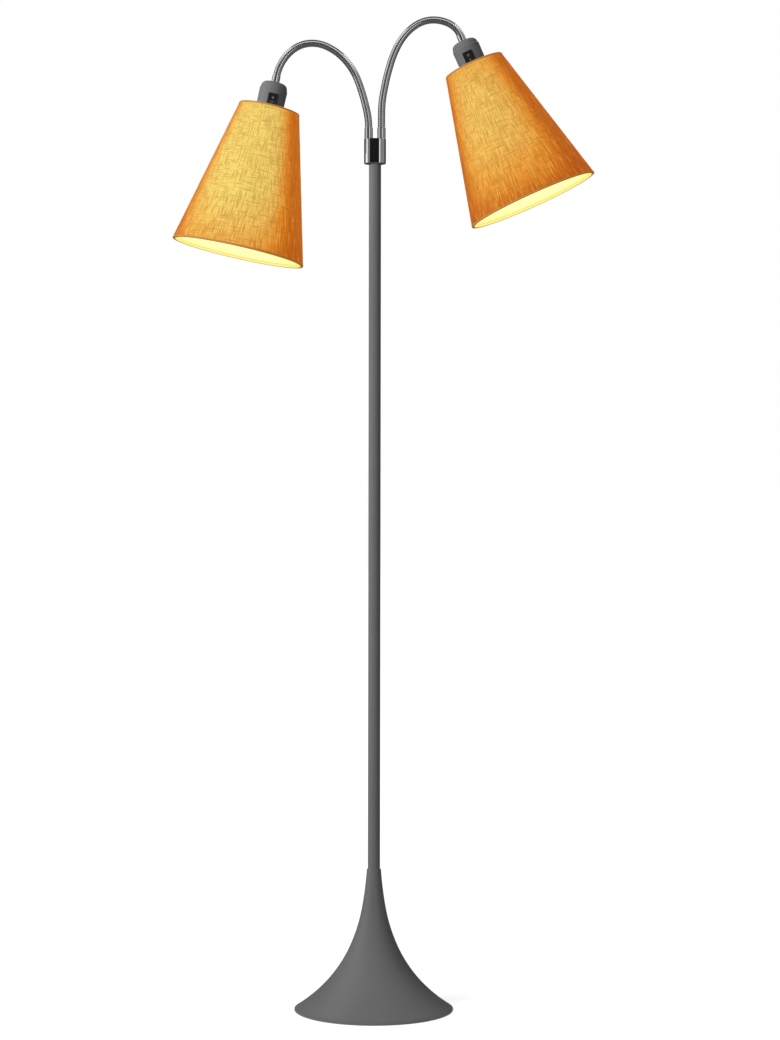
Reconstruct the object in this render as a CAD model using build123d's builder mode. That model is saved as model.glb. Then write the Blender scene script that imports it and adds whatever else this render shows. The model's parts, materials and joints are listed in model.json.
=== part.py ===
from build123d import *
import os
from math import atan2, cos, pi, radians, sin, sqrt

# Floor lamp with a trumpet base, one pole and two bendable arms, each with a switched lampholder and a
# conical fabric shade. Millimetres, +Z up. The origin is on the floor under the middle of the base, +X is
# to the right of someone facing the switches, and -Y is towards them.

# ---------------------------------------------------------------- driving dimensions

# Trumpet base: a spun shell, its iron weight, closing plate and felt pad
pad_thickness = 2.0
pad_inset = 1.2
shell_floor_gap = 0.5
shell_rim_radius = 117.4
shell_rim_height = 1.6
shell_wall = 2.0
shell_neck_wall = 1.4
shell_neck_top = 208.0
shell_neck_chamfer = 0.5
flare_neck_handle = 58.0
flare_neck_angle = 4.9
flare_rim_handle = 112.0
flare_rim_angle = 32.5
flare_arcs = 4
inner_flare_points = 9
flare_search_steps = 40
plate_thickness = 1.5
plate_clearance = 0.2
weight_gap = 1.0
weight_height = 42.0
weight_base_radius = 96.0
weight_recess_radius = 17.0
weight_recess_depth = 9.0
cord_groove_width = 10.0
cord_groove_depth = 10.5
cord_bush_radius = 4.5
cord_bush_bore = 3.2
cord_bush_length = 19.0
cord_bush_clearance = 0.1
cord_bush_lift = 0.5
cord_bush_overlap = 2.0

# Threaded tube that clamps the pole to the weight
tie_radius = 5.0
tie_bore = 4.0
tie_hole_clearance = 0.25
tie_nut_flats = 14.0
tie_nut_height = 3.0
tie_washer_radius = 13.0
tie_washer_thickness = 1.5
tie_tail = 1.2
tie_top_inset = 2.0
pole_plug_height = 25.0
thread_clearance = 0.05

# Pole and the wires in it
pole_radius = 9.0
pole_wall = 1.5
pole_fit = 0.05
pole_length = 1226.5
flex_radius = 3.0
splice_radius = 2.6
splice_length = 16.0
splice_count = 2
splice_gap = 0.4
splice_inset = 2.0

# Chrome collar that carries both arms
collar_width = 32.4
collar_depth = 22.0
collar_height = 37.0
collar_edge = 0.8
collar_pole_depth = 20.0
collar_cavity_height = 5.0
collar_cavity_width = 25.0
collar_cavity_depth = 11.0
arm_spacing = 19.0
pole_screw_radius = 2.5
arm_screw_radius = 2.0
screw_recess = 0.4
screw_socket_flats = 2.0
screw_socket_depth = 1.2

# Ferrule at the foot of each arm
ferrule_radius = 6.2
ferrule_height = 17.0
ferrule_edge = 0.6
ferrule_seat_depth = 12.0
spigot_radius = 5.0
spigot_length = 12.0
spigot_fit = 0.05

# Gooseneck hose: ribs on an eight-sided section, cut into five spans that meet in ball-shaped joints
hose_radius = 5.4
hose_groove_radius = 4.8
hose_bore_radius = 3.4
hose_sides = 8
hose_seat_clearance = 0.1
rib_pitch = 2.9
rib_flank = 0.24
hose_arc_length = 24.12
arcs_per_span = 2
bore_step = 8.0
pocket_lead = 2.0
left_bends = (12.5, 3.5, 5.5, 14.0, 15.0, 17.5, 27.5, 30.0, 22.5, 19.7)
right_bends = (1.0, 8.5, 3.5, 4.0, 8.5, 14.0, 20.5, 29.5, 26.0, 40.6)
span_joint_reach = 32.0
span_joint_gap = 0.35
ball_end_wall = 0.15
ball_waist_share = 0.62

# Sleeve and thread at the head end of the hose
sleeve_radius = 5.95
sleeve_length = 10.8
sleeve_floor = 1.0
shank_radius = 4.9
shank_length = 13.0
shank_bore = 3.2
holder_nut_flats = 14.0
holder_nut_height = 4.0

# Grey lampholder cover; depths run from its flat top along the head's axis
cover_top_radius = 11.5
cover_neck_radius = 19.6
cover_shoulder_depth = 8.0
cover_step_depth = 8.6
cover_max_radius = 20.7
cover_max_depth = 10.6
cover_mouth_radius = 20.2
cover_height = 57.0
cover_wall = 1.8
cover_hole_clearance = 0.1

# Rocker switch in the front of the cover. The head is turned about its axis, towards the pole.
head_turn = 9.0
switch_depth = 18.7
switch_width = 15.0
switch_height = 21.0
bezel_seat = 19.3
bezel_thickness = 2.0
bezel_edge = 0.4
housing_width = 13.0
housing_height = 19.2
housing_reach = 13.0
switch_clearance = 0.15
rocker_width = 11.0
rocker_gap = 0.2
rocker_sweep_radius = 8.5
rocker_pivot_inset = 1.0
rocker_pin_radius = 1.0
rocker_pin_clearance = 0.06
rocker_pin_length = 0.7
rocker_face = 4.6
rocker_dip = 0.9
rocker_back = 4.0
rocker_tilt = 10.0
rocker_cavity = 6.0
blade_width = 4.8
blade_thickness = 0.8
blade_length = 6.0
blade_pitch = 7.0
blade_count = 2

# Lampholder inside the cover
socket_top_depth = 42.0
socket_floor_depth = 53.0
socket_length = 42.0
socket_radius = 18.1
socket_bore = 14.0
screw_shell_radius = 13.85
screw_shell_wall = 0.4
screw_shell_clearance = 1.0
contact_radius = 4.0
contact_thickness = 1.0
contact_stem_radius = 1.5
shade_ring_radius = 26.0
shade_ring_height = 8.0
shade_ring_wall = 2.0
shade_ring_flange = 2.0
shade_ring_clearance = 0.15

# Conical shade: fabric over a stiff liner, on wire rings
shade_drop = 39.0
shade_height = 218.0
shade_top_radius = 45.0
shade_bottom_radius = 98.8
fabric_thickness = 0.7
liner_thickness = 0.5
liner_gap = 0.05
wire_radius = 1.6
wire_sides = 6
wire_gap = 0.1
spoke_radius = 1.5
spoke_count = 3
spoke_sides = 6
fitter_radius = 26.0
fitter_bore = 18.4
fitter_thickness = 1.5

# Pear-shaped bulb
bulb_cap_radius = 13.2
bulb_cap_height = 25.0
bulb_cap_tip_radius = 5.0
bulb_cap_tip_height = 2.0
bulb_cap_wall = 0.8
bulb_radius = 30.0
bulb_wall = 0.9
bulb_tip_radius = 3.0
bulb_length = 108.0
bulb_shoulder_angle = 38.0
bulb_crown_steps = 7
bulb_neck_radius = 12.8
bulb_neck_swell = 15.5
bulb_neck_swell_depth = 12.0

# ---------------------------------------------------------------- places worked out from them

plate_bottom = pad_thickness
weight_bottom = plate_bottom + plate_thickness
weight_top = weight_bottom + weight_height
pole_bottom = weight_top
pole_top = pole_bottom + pole_length
collar_bottom = pole_top - collar_pole_depth
collar_top = collar_bottom + collar_height
collar_cavity_top = pole_top + collar_cavity_height
ferrule_top = collar_top + ferrule_height
nut_seat = weight_bottom + weight_recess_depth
tie_bottom = nut_seat - tie_washer_thickness - tie_nut_height - tie_tail
tie_top = pole_bottom + pole_plug_height - tie_top_inset

os.makedirs("parts", exist_ok=True)


def save(piece, name):
    """Labels a finished piece and writes it to its own file."""
    piece.part.label = name
    export_step(piece.part, f"parts/{name}.step")


# ---------------------------------------------------------------- base

# The trumpet's outline is one curve: nearly upright at the neck, and a shallow slope at the rim.
neck_radius = pole_radius + pole_fit + shell_neck_wall
rim_top = shell_floor_gap + shell_rim_height
neck_angle = radians(flare_neck_angle)
rim_angle = radians(flare_rim_angle)
flare_points = (
    (neck_radius, shell_neck_top),
    (
        neck_radius + flare_neck_handle * sin(neck_angle),
        shell_neck_top - flare_neck_handle * cos(neck_angle),
    ),
    (
        shell_rim_radius - flare_rim_handle * cos(rim_angle),
        rim_top + flare_rim_handle * sin(rim_angle),
    ),
    (shell_rim_radius, rim_top),
)
flare = Bezier(*flare_points)


def inside_flare(share, depth):
    """The point (radius, height) that lies depth under the trumpet's skin, share of the way to the rim."""
    skin = flare @ share
    slope = (flare % share).normalized()
    return (skin.X + depth * slope.Y, skin.Y - depth * slope.X)


def flare_share_where(reached):
    """Share of the way to the rim from which a test of the flare holds."""
    low, high = 0.0, 1.0
    for _ in range(flare_search_steps):
        middle = (low + high) / 2
        if reached(middle):
            high = middle
        else:
            low = middle
    return high


def flare_share_at(radius, depth):
    """Share of the way to the rim where the surface that lies depth under the skin has this radius."""
    return flare_share_where(lambda share: inside_flare(share, depth)[0] >= radius)


bore_radius = pole_radius + pole_fit
# The cavity's wall follows the skin on short straight cones, from the neck's bore to the plate.
bore_share = flare_share_at(bore_radius + 0.01, shell_wall)
cavity_points = [
    inside_flare(bore_share + (1 - bore_share) * step / inner_flare_points, shell_wall)
    for step in range(inner_flare_points)
]
cavity_rim_radius = shell_rim_radius - shell_wall
cavity_run, cavity_rise = cavity_rim_radius - cavity_points[-1][0], cavity_points[-1][1] - rim_top
plate_rise = max(weight_bottom - rim_top, 0.0)
plate_radius = cavity_rim_radius - plate_rise * cavity_run / cavity_rise - plate_clearance

bush_z = weight_bottom + cord_bush_radius + cord_bush_lift

with BuildPart() as base_shell:
    with BuildSketch(Plane.XZ):
        with BuildLine():
            for arc in range(flare_arcs):
                ThreePointArc(*(flare @ ((arc + half) / flare_arcs) for half in (0, 0.5, 1)))
            Polyline(
                (shell_rim_radius, rim_top),
                (shell_rim_radius, shell_floor_gap),
                (cavity_rim_radius, shell_floor_gap),
                (cavity_rim_radius, rim_top),
                *reversed(cavity_points),
                (bore_radius, cavity_points[0][1]),
                (bore_radius, shell_neck_top),
                (neck_radius, shell_neck_top),
            )
        make_face()
    revolve(axis=Axis.Z)
    neck_rim = base_shell.edges().filter_by(GeomType.CIRCLE).group_by(Axis.Z)[-1]
    chamfer(neck_rim.sort_by(SortBy.RADIUS)[-1], shell_neck_chamfer)
    # Hole for the cord's bush in the back of the skirt
    with BuildSketch(Plane.XZ.offset(-weight_base_radius)):
        with Locations((0, bush_z)):
            Circle(cord_bush_radius + cord_bush_clearance)
    extrude(amount=-2 * cord_bush_length, mode=Mode.SUBTRACT)

with BuildPart() as base_plate:
    with BuildSketch(Plane.XY.offset(plate_bottom)):
        Circle(plate_radius)
    extrude(amount=plate_thickness)

with BuildPart() as foot_pad:
    with BuildSketch():
        Circle(plate_radius - pad_inset)
    extrude(amount=pad_thickness)

# The weight keeps weight_gap under the shell's inner wall, and its flat top carries the pole.
weight_depth = shell_wall + weight_gap
weight_top_share = flare_share_where(lambda share: inside_flare(share, weight_depth)[1] <= weight_top)
weight_top_radius = inside_flare(weight_top_share, weight_depth)[0] - weight_gap
weight_base_share = flare_share_at(weight_base_radius, weight_depth)
weight_shoulder = inside_flare(weight_base_share, weight_depth)
weight_middle = inside_flare((weight_top_share + weight_base_share) / 2, weight_depth + weight_gap)

with BuildPart() as base_weight:
    with BuildSketch(Plane.XZ):
        with BuildLine():
            Polyline(
                (tie_radius + tie_hole_clearance, nut_seat),
                (weight_recess_radius, nut_seat),
                (weight_recess_radius, weight_bottom),
                (weight_base_radius, weight_bottom),
                weight_shoulder,
                weight_middle,
                (weight_top_radius, weight_top),
                (tie_radius + tie_hole_clearance, weight_top),
                close=True,
            )
        make_face()
    revolve(axis=Axis.Z)
    # Groove that takes the cord from the bush to the middle
    with BuildSketch(Plane.XY.offset(weight_bottom)):
        with Locations((0, weight_base_radius / 2)):
            Rectangle(cord_groove_width, weight_base_radius)
    extrude(amount=cord_groove_depth, mode=Mode.SUBTRACT)

with BuildPart() as tie_washer:
    with BuildSketch(Plane.XY.offset(nut_seat - tie_washer_thickness)):
        Circle(tie_washer_radius)
        Circle(tie_radius + tie_hole_clearance, mode=Mode.SUBTRACT)
    extrude(amount=tie_washer_thickness)

with BuildPart() as tie_nut:
    with BuildSketch(Plane.XY.offset(nut_seat - tie_washer_thickness - tie_nut_height)):
        RegularPolygon(tie_nut_flats / 2, 6, major_radius=False)
        Circle(tie_radius + thread_clearance, mode=Mode.SUBTRACT)
    extrude(amount=tie_nut_height)

with BuildPart() as tie_tube:
    with BuildSketch(Plane.XY.offset(tie_bottom)):
        Circle(tie_radius)
        Circle(tie_bore, mode=Mode.SUBTRACT)
    extrude(amount=tie_top - tie_bottom)

with BuildPart() as cord_bush:
    with BuildSketch(Plane.XZ.offset(-(weight_base_radius - cord_bush_overlap))):
        with Locations((0, bush_z)):
            Circle(cord_bush_radius)
            Circle(cord_bush_bore, mode=Mode.SUBTRACT)
    extrude(amount=-cord_bush_length)

# ---------------------------------------------------------------- pole

with BuildPart() as pole:
    with BuildSketch(Plane.XY.offset(pole_bottom)):
        Circle(pole_radius)
        Circle(pole_radius - pole_wall, mode=Mode.SUBTRACT)
    extrude(amount=pole_length)

with BuildPart() as pole_plug:
    with BuildSketch(Plane.XY.offset(pole_bottom)):
        Circle(pole_radius - pole_wall - thread_clearance)
        Circle(tie_radius + thread_clearance, mode=Mode.SUBTRACT)
    extrude(amount=pole_plug_height)

# The flex comes up through the tie tube and stops at the splices in the top of the pole.
flex_top = pole_top - splice_length - splice_inset
with BuildPart() as pole_flex:
    with BuildSketch(Plane.XY.offset(tie_bottom)):
        Circle(flex_radius)
    extrude(amount=flex_top - tie_bottom)

with BuildPart() as wire_splices:
    with BuildSketch(Plane.XY.offset(flex_top)):
        with GridLocations(2 * splice_radius + splice_gap, 0, splice_count, 1):
            Circle(splice_radius)
    extrude(amount=splice_length)

for name, piece in (
    ("base_shell", base_shell),
    ("base_plate", base_plate),
    ("foot_pad", foot_pad),
    ("base_weight", base_weight),
    ("tie_washer", tie_washer),
    ("tie_nut", tie_nut),
    ("tie_tube", tie_tube),
    ("cord_bush", cord_bush),
    ("pole", pole),
    ("pole_plug", pole_plug),
    ("pole_flex", pole_flex),
    ("wire_splices", wire_splices),
):
    save(piece, name)

# ---------------------------------------------------------------- collar

arm_x = arm_spacing / 2
arm_screw_z = collar_top - spigot_length / 2
pole_screw_z = collar_bottom + collar_pole_depth / 2
collar_end_radius = collar_depth / 2
collar_end_x = collar_width / 2 - collar_end_radius
collar_back_at_arm = sqrt(collar_end_radius**2 - max(arm_x - collar_end_x, 0) ** 2)

with BuildPart() as arm_collar:
    with BuildSketch(Plane.XY.offset(collar_bottom)):
        SlotOverall(collar_width, collar_depth)
    extrude(amount=collar_height)
    rims = arm_collar.edges().group_by(Axis.Z)
    chamfer(rims[0] + rims[-1], collar_edge)
    with BuildSketch(Plane.XY.offset(collar_bottom)):
        Circle(pole_radius + pole_fit)
    extrude(amount=collar_pole_depth, mode=Mode.SUBTRACT)
    with BuildSketch(Plane.XY.offset(pole_top)):
        SlotOverall(collar_cavity_width, collar_cavity_depth)
    extrude(amount=collar_cavity_height, mode=Mode.SUBTRACT)
    with BuildSketch(Plane.XY.offset(collar_cavity_top)):
        with GridLocations(arm_spacing, 0, 2, 1):
            Circle(spigot_radius + spigot_fit)
    extrude(amount=collar_top - collar_cavity_top, mode=Mode.SUBTRACT)
    # Threaded holes for the grub screws in the back
    with BuildSketch(Plane.XZ):
        with Locations((0, pole_screw_z)):
            Circle(pole_screw_radius)
        with Locations((-arm_x, arm_screw_z), (arm_x, arm_screw_z)):
            Circle(arm_screw_radius)
    extrude(amount=-collar_depth, mode=Mode.SUBTRACT)
save(arm_collar, "arm_collar")


def grub_screw(radius, x, z, seat, back):
    """A grub screw along Y, from the surface it presses on to just inside the collar's back."""
    with BuildSketch(Plane.XZ.offset(-seat)) as shank:
        with Locations((x, z)):
            Circle(radius - thread_clearance)
    extrude(shank.sketch, amount=-(back - screw_recess - seat))
    with BuildSketch(Plane.XZ.offset(-(back - screw_recess))) as key:
        with Locations((x, z)):
            RegularPolygon(screw_socket_flats / 2, 6, major_radius=False)
    extrude(key.sketch, amount=screw_socket_depth, mode=Mode.SUBTRACT)


with BuildPart() as collar_screws:
    grub_screw(pole_screw_radius, 0, pole_screw_z, pole_radius, collar_end_radius + screw_recess)
    grub_screw(arm_screw_radius, -arm_x, arm_screw_z, spigot_radius, collar_back_at_arm)
    grub_screw(arm_screw_radius, arm_x, arm_screw_z, spigot_radius, collar_back_at_arm)
save(collar_screws, "collar_screws")

# ---------------------------------------------------------------- arms


class Arm:
    """One arm's centreline: a chain of equal arcs that starts upright at the top of the ferrule."""

    def __init__(self, name, side, bends):
        self.name = name
        self.side = side
        self.bends = bends
        self.length = hose_arc_length * len(bends)
        self.starts = [(side * arm_x, ferrule_top, 0.0)]
        for bend in bends:
            self.starts.append(self.along(self.starts[-1], bend, hose_arc_length))

    def along(self, start, bend, distance):
        """The point and heading after some distance on an arc that turns by bend over its whole length."""
        x, z, heading = start
        turn = radians(bend) * distance / hose_arc_length
        chord = distance * (sin(turn / 2) / (turn / 2) if turn else 1.0)
        middle = heading + turn / 2
        return (x + self.side * chord * sin(middle), z + chord * cos(middle), heading + turn)

    def at(self, distance):
        """The centreline's x, z and heading at a distance from the ferrule's top."""
        index = min(max(int(distance // hose_arc_length), 0), len(self.bends) - 1)
        if distance < 0:
            return (self.side * arm_x, ferrule_top + distance, 0.0)
        if distance >= self.length:
            x, z, heading = self.starts[-1]
            past = distance - self.length
            return (x + self.side * past * sin(heading), z + past * cos(heading), heading)
        return self.along(self.starts[index], self.bends[index], distance - index * hose_arc_length)

    def plane(self, distance, shift=0.0):
        """The plane square to the centreline at a distance, moved along the heading there by shift."""
        x, z, heading = self.at(distance)
        forward = Vector(self.side * sin(heading), 0, cos(heading))
        return Plane(origin=Vector(x, 0, z) + forward * shift, x_dir=(0, 1, 0), z_dir=forward)


arms = (Arm("left", -1, left_bends), Arm("right", 1, right_bends))
span_length = hose_arc_length * arcs_per_span
span_count = len(left_bends) // arcs_per_span
# A span's end is a lip round the next span's ball. It stops short of the ball's middle by lip_drop, so
# that the next span clears it up to span_joint_reach degrees either way.
lip_drop = hose_radius * sin(radians(span_joint_reach)) + span_joint_gap
lip_bore = sqrt((hose_radius + span_joint_gap) ** 2 - lip_drop**2)
ball_depth = sqrt(hose_radius**2 - (hose_bore_radius + ball_end_wall) ** 2)
ball_waist = ball_depth * ball_waist_share
pocket_depth = sqrt((hose_radius + span_joint_gap) ** 2 - hose_bore_radius**2)


def hose_span(arm, index):
    """One rigid span of the ribbed hose, with a ball at its start and a lip at its end."""
    first, last = index == 0, index == span_count - 1
    start = -ferrule_seat_depth if first else index * span_length
    junction = (index + 1) * span_length
    end = arm.length + sleeve_length - sleeve_floor if last else junction - lip_drop
    ribbed_end = arm.length if last else end
    ribs = round((ribbed_end - start) / rib_pitch)
    pitch = (ribbed_end - start) / ribs
    with BuildPart() as span:
        sections = []
        if not first:
            for radius, drop in (
                (sqrt(hose_radius**2 - ball_depth**2), ball_depth),
                (sqrt(hose_radius**2 - ball_waist**2), ball_waist),
            ):
                sections.append((arm.plane(start, -drop), radius))
        for rib in range(ribs):
            foot = start + rib * pitch
            sections.append((arm.plane(foot), hose_groove_radius))
            sections.append((arm.plane(foot + rib_flank * pitch), hose_radius))
            sections.append((arm.plane(foot + (1 - rib_flank) * pitch), hose_radius))
        if last:
            sections.append((arm.plane(ribbed_end), hose_groove_radius))
            sections.append((arm.plane(end), hose_groove_radius))
        else:
            sections[-1] = (arm.plane(junction, -lip_drop), hose_radius)
        for plane, radius in sections:
            with BuildSketch(plane):
                RegularPolygon(radius, hose_sides)
        loft(ruled=True)
        # Bore for the wires
        bore_start = start - (0 if first else ball_depth)
        steps = round((end - bore_start) / bore_step)
        for step in range(steps + 1):
            distance = bore_start + (end - bore_start) * step / steps
            plane = arm.plane(start, distance - start) if distance < start else arm.plane(distance)
            with BuildSketch(plane):
                RegularPolygon(hose_bore_radius, hose_sides)
        loft(ruled=True, mode=Mode.SUBTRACT)
        if not last:
            # Pocket for the next span's ball
            with BuildSketch(arm.plane(junction, pocket_lead - lip_drop)):
                RegularPolygon(lip_bore, hose_sides, major_radius=False)
            extrude(amount=-(pocket_depth - lip_drop + pocket_lead), mode=Mode.SUBTRACT)
    return span


for arm in arms:
    arm_foot = Plane(origin=(arm.side * arm_x, 0, 0), x_dir=(1, 0, 0), z_dir=(0, -1, 0))
    with BuildPart() as arm_ferrule:
        with BuildSketch(arm_foot):
            with BuildLine():
                Polyline(
                    (hose_bore_radius, collar_top - spigot_length),
                    (spigot_radius, collar_top - spigot_length),
                    (spigot_radius, collar_top),
                    (ferrule_radius, collar_top),
                    (ferrule_radius, ferrule_top - ferrule_edge),
                    (ferrule_radius - ferrule_edge, ferrule_top),
                    (hose_radius + hose_seat_clearance, ferrule_top),
                    (hose_radius + hose_seat_clearance, ferrule_top - ferrule_seat_depth),
                    (hose_bore_radius, ferrule_top - ferrule_seat_depth),
                    close=True,
                )
            make_face()
        revolve(axis=Axis(arm_foot.origin, (0, 0, 1)))
    save(arm_ferrule, f"{arm.name}_arm_ferrule")
    for index in range(span_count):
        save(hose_span(arm, index), f"{arm.name}_hose_{index + 1}")

# ---------------------------------------------------------------- heads


class Head:
    """A head's own frame: depth runs from the cover's flat top along the axis, into the shade."""

    def __init__(self, arm):
        x, z, heading = arm.at(arm.length + sleeve_length)
        self.name = arm.name
        self.top = Vector(x, 0, z)
        self.down = Vector(arm.side * sin(heading), 0, cos(heading))
        self.axis = Axis(self.top, self.down)
        # The switch faces a little towards the pole.
        turn = -arm.side * radians(head_turn)
        level = Vector(-self.down.Z, 0, self.down.X)
        self.forward = Vector(0, -cos(turn), 0) + level * sin(turn)
        self.across = level * cos(turn) + Vector(0, sin(turn), 0)
        self.profile = Plane(origin=self.top, x_dir=self.across, z_dir=-self.forward)
        self.side_view = Plane(origin=self.top, x_dir=self.forward, z_dir=self.across)

    def square(self, depth):
        """The plane square to the axis at a depth, with its local y towards the front."""
        return Plane(origin=self.top + self.down * depth, x_dir=self.across, z_dir=self.down)

    def front(self, reach):
        """The plane in front of the axis by reach: local y runs down along the axis."""
        return Plane(origin=self.top + self.forward * reach, x_dir=self.across, z_dir=-self.forward)


def turned(head, points):
    """A body turned about the head's axis from its half section, as (radius, depth) points."""
    with BuildPart() as piece:
        with BuildSketch(head.profile):
            with BuildLine():
                Polyline(*points, close=True)
            make_face()
        revolve(axis=head.axis)
    return piece


def cone_radius(depth):
    """Outer radius of the fabric at a depth."""
    share = (depth - shade_drop) / shade_height
    return shade_top_radius + (shade_bottom_radius - shade_top_radius) * share


shade_slope = atan2(shade_bottom_radius - shade_top_radius, shade_height)
shade_mouth = shade_drop + shade_height
fabric_inset = fabric_thickness / cos(shade_slope)
liner_inset = fabric_inset + liner_gap
wire_inset = liner_inset + liner_thickness / cos(shade_slope) + wire_gap + wire_radius
fitter_depth = cover_height
socket_mouth = socket_top_depth + socket_length
contact_depth = socket_floor_depth + contact_thickness
bulb_cap_mouth = contact_depth + bulb_cap_tip_height + bulb_cap_height
bulb_crown = sqrt(bulb_radius**2 - bulb_tip_radius**2)
bulb_centre = contact_depth + bulb_length - bulb_crown
switch_middle = switch_depth + switch_height / 2
bezel_front = bezel_seat + bezel_thickness
pivot_reach = bezel_seat - rocker_pivot_inset


def end_ferrule(head):
    """Sleeve over the hose's end, with a threaded shank that goes into the cover."""
    seat_radius = hose_radius + hose_seat_clearance
    return turned(
        head,
        (
            (shank_bore, shank_length),
            (shank_radius, shank_length),
            (shank_radius, 0),
            (sleeve_radius, 0),
            (sleeve_radius, -sleeve_length),
            (seat_radius, -sleeve_length),
            (seat_radius, -sleeve_floor),
            (shank_bore, -sleeve_floor),
        ),
    )


def holder_nut(head):
    with BuildPart() as nut:
        with BuildSketch(head.square(cover_wall)):
            RegularPolygon(holder_nut_flats / 2, 6, major_radius=False)
            Circle(shank_radius + thread_clearance, mode=Mode.SUBTRACT)
        extrude(amount=holder_nut_height)
    return nut


def holder_cover(head):
    """Cup with a rounded shoulder, a small step and a nearly straight skirt, open at its mouth."""
    hole = shank_radius + cover_hole_clearance
    shoulder_start = (cover_top_radius, 0)
    shoulder_end = (cover_neck_radius, cover_shoulder_depth)
    with BuildPart() as cover:
        with BuildSketch(head.profile):
            with BuildLine():
                Line((hole, 0), shoulder_start)
                TangentArc(shoulder_start, shoulder_end, tangent=(1, 0))
                Polyline(
                    shoulder_end,
                    (cover_neck_radius, cover_step_depth),
                    (cover_max_radius, cover_max_depth),
                    (cover_mouth_radius, cover_height),
                    (cover_mouth_radius - cover_wall, cover_height),
                    (cover_max_radius - cover_wall, cover_max_depth),
                    (cover_neck_radius - cover_wall, cover_step_depth),
                    (cover_neck_radius - cover_wall, cover_shoulder_depth),
                    (cover_top_radius - cover_wall / 2, cover_wall),
                    (hole, cover_wall),
                    (hole, 0),
                )
            make_face()
        revolve(axis=head.axis)
        # Flat seat for the switch's bezel, and the hole for its housing
        with BuildSketch(head.front(bezel_seat)):
            with Locations((0, switch_middle)):
                Rectangle(switch_width + switch_clearance, switch_height + switch_clearance)
        extrude(amount=-cover_max_radius, mode=Mode.SUBTRACT)
        with BuildSketch(head.front(0)):
            with Locations((0, switch_middle)):
                Rectangle(housing_width + switch_clearance, housing_height + switch_clearance)
        extrude(amount=-cover_max_radius, mode=Mode.SUBTRACT)
    return cover


def switch_body(head):
    """Housing with a raised bezel, open in front, with pin holes for the rocker."""
    cavity_back = pivot_reach - rocker_cavity
    with BuildPart() as body:
        with BuildSketch(head.front(bezel_seat)):
            with Locations((0, switch_middle)):
                Rectangle(switch_width, switch_height)
        extrude(amount=-bezel_thickness)
        front_face = body.faces().sort_by(Axis(head.top, head.forward))[-1]
        chamfer(front_face.edges(), bezel_edge)
        with BuildSketch(head.front(bezel_seat - housing_reach)):
            with Locations((0, switch_middle)):
                Rectangle(housing_width, housing_height)
        extrude(amount=-housing_reach)
        with BuildSketch(head.front(cavity_back)):
            with Locations((0, switch_middle)):
                Rectangle(
                    rocker_width + 2 * rocker_gap,
                    2 * (rocker_sweep_radius + rocker_gap),
                )
        extrude(amount=-(bezel_front - cavity_back), mode=Mode.SUBTRACT)
        with BuildSketch(head.side_view):
            with Locations((pivot_reach, switch_middle)):
                Circle(rocker_pin_radius + rocker_pin_clearance)
        extrude(amount=rocker_width / 2 + rocker_pin_length + rocker_gap, both=True, mode=Mode.SUBTRACT)
    return body


def switch_rocker(head):
    """Rocker with rounded ends about its pins, tilted so that its lower half is pressed in."""
    tilt = radians(rocker_tilt)
    reach = sqrt(rocker_sweep_radius**2 - rocker_face**2)
    back_reach = sqrt(rocker_sweep_radius**2 - rocker_back**2)
    pivot = head.top + head.down * switch_middle + head.forward * pivot_reach
    outward = head.forward * cos(tilt) + head.down * sin(tilt)
    section = Plane(origin=pivot, x_dir=outward, z_dir=head.across)
    with BuildPart() as rocker:
        with BuildSketch(section):
            with BuildLine():
                Polyline((rocker_face, -reach), (rocker_face - rocker_dip, 0), (rocker_face, reach))
                ThreePointArc((rocker_face, reach), (0, rocker_sweep_radius), (-rocker_back, back_reach))
                Line((-rocker_back, back_reach), (-rocker_back, -back_reach))
                ThreePointArc((-rocker_back, -back_reach), (0, -rocker_sweep_radius), (rocker_face, -reach))
            make_face()
        extrude(amount=rocker_width / 2, both=True)
        with BuildSketch(section):
            Circle(rocker_pin_radius)
        extrude(amount=rocker_width / 2 + rocker_pin_length, both=True)
    return rocker


def switch_blades(head):
    with BuildPart() as blades:
        with BuildSketch(head.front(bezel_seat - housing_reach)):
            with Locations((0, switch_middle)):
                with GridLocations(0, blade_pitch, 1, blade_count):
                    Rectangle(blade_width, blade_thickness)
        extrude(amount=blade_length)
    return blades


def socket_body(head):
    """Moulded lampholder: a cup for the screw shell, with a hole for the contact's stem."""
    return turned(
        head,
        (
            (contact_stem_radius + thread_clearance, socket_top_depth),
            (socket_radius, socket_top_depth),
            (socket_radius, socket_mouth),
            (socket_bore, socket_mouth),
            (socket_bore, socket_floor_depth),
            (contact_stem_radius + thread_clearance, socket_floor_depth),
        ),
    )


def screw_shell(head):
    top = socket_floor_depth + screw_shell_clearance
    return turned(
        head,
        (
            (screw_shell_radius - screw_shell_wall, top),
            (screw_shell_radius, top),
            (screw_shell_radius, socket_mouth - screw_shell_clearance),
            (screw_shell_radius - screw_shell_wall, socket_mouth - screw_shell_clearance),
        ),
    )


def centre_contact(head):
    return turned(
        head,
        (
            (0, socket_top_depth),
            (contact_stem_radius, socket_top_depth),
            (contact_stem_radius, socket_floor_depth),
            (contact_radius, socket_floor_depth),
            (contact_radius, contact_depth),
            (0, contact_depth),
        ),
    )


def shade_ring(head):
    """Threaded ring that holds the shade's fitter against the cover: a flange and a short sleeve."""
    bore = socket_radius + shade_ring_clearance
    top = fitter_depth + fitter_thickness
    return turned(
        head,
        (
            (bore, top),
            (shade_ring_radius, top),
            (shade_ring_radius, top + shade_ring_flange),
            (bore + shade_ring_wall, top + shade_ring_flange),
            (bore + shade_ring_wall, top + shade_ring_height),
            (bore, top + shade_ring_height),
        ),
    )


def wire_ring(head, depth):
    """Adds one wire ring that lies just inside the liner."""
    with BuildSketch(head.profile) as wire:
        with Locations((cone_radius(depth) - wire_inset, depth)):
            RegularPolygon(wire_radius, wire_sides)
    revolve(wire.sketch, axis=head.axis)


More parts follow.
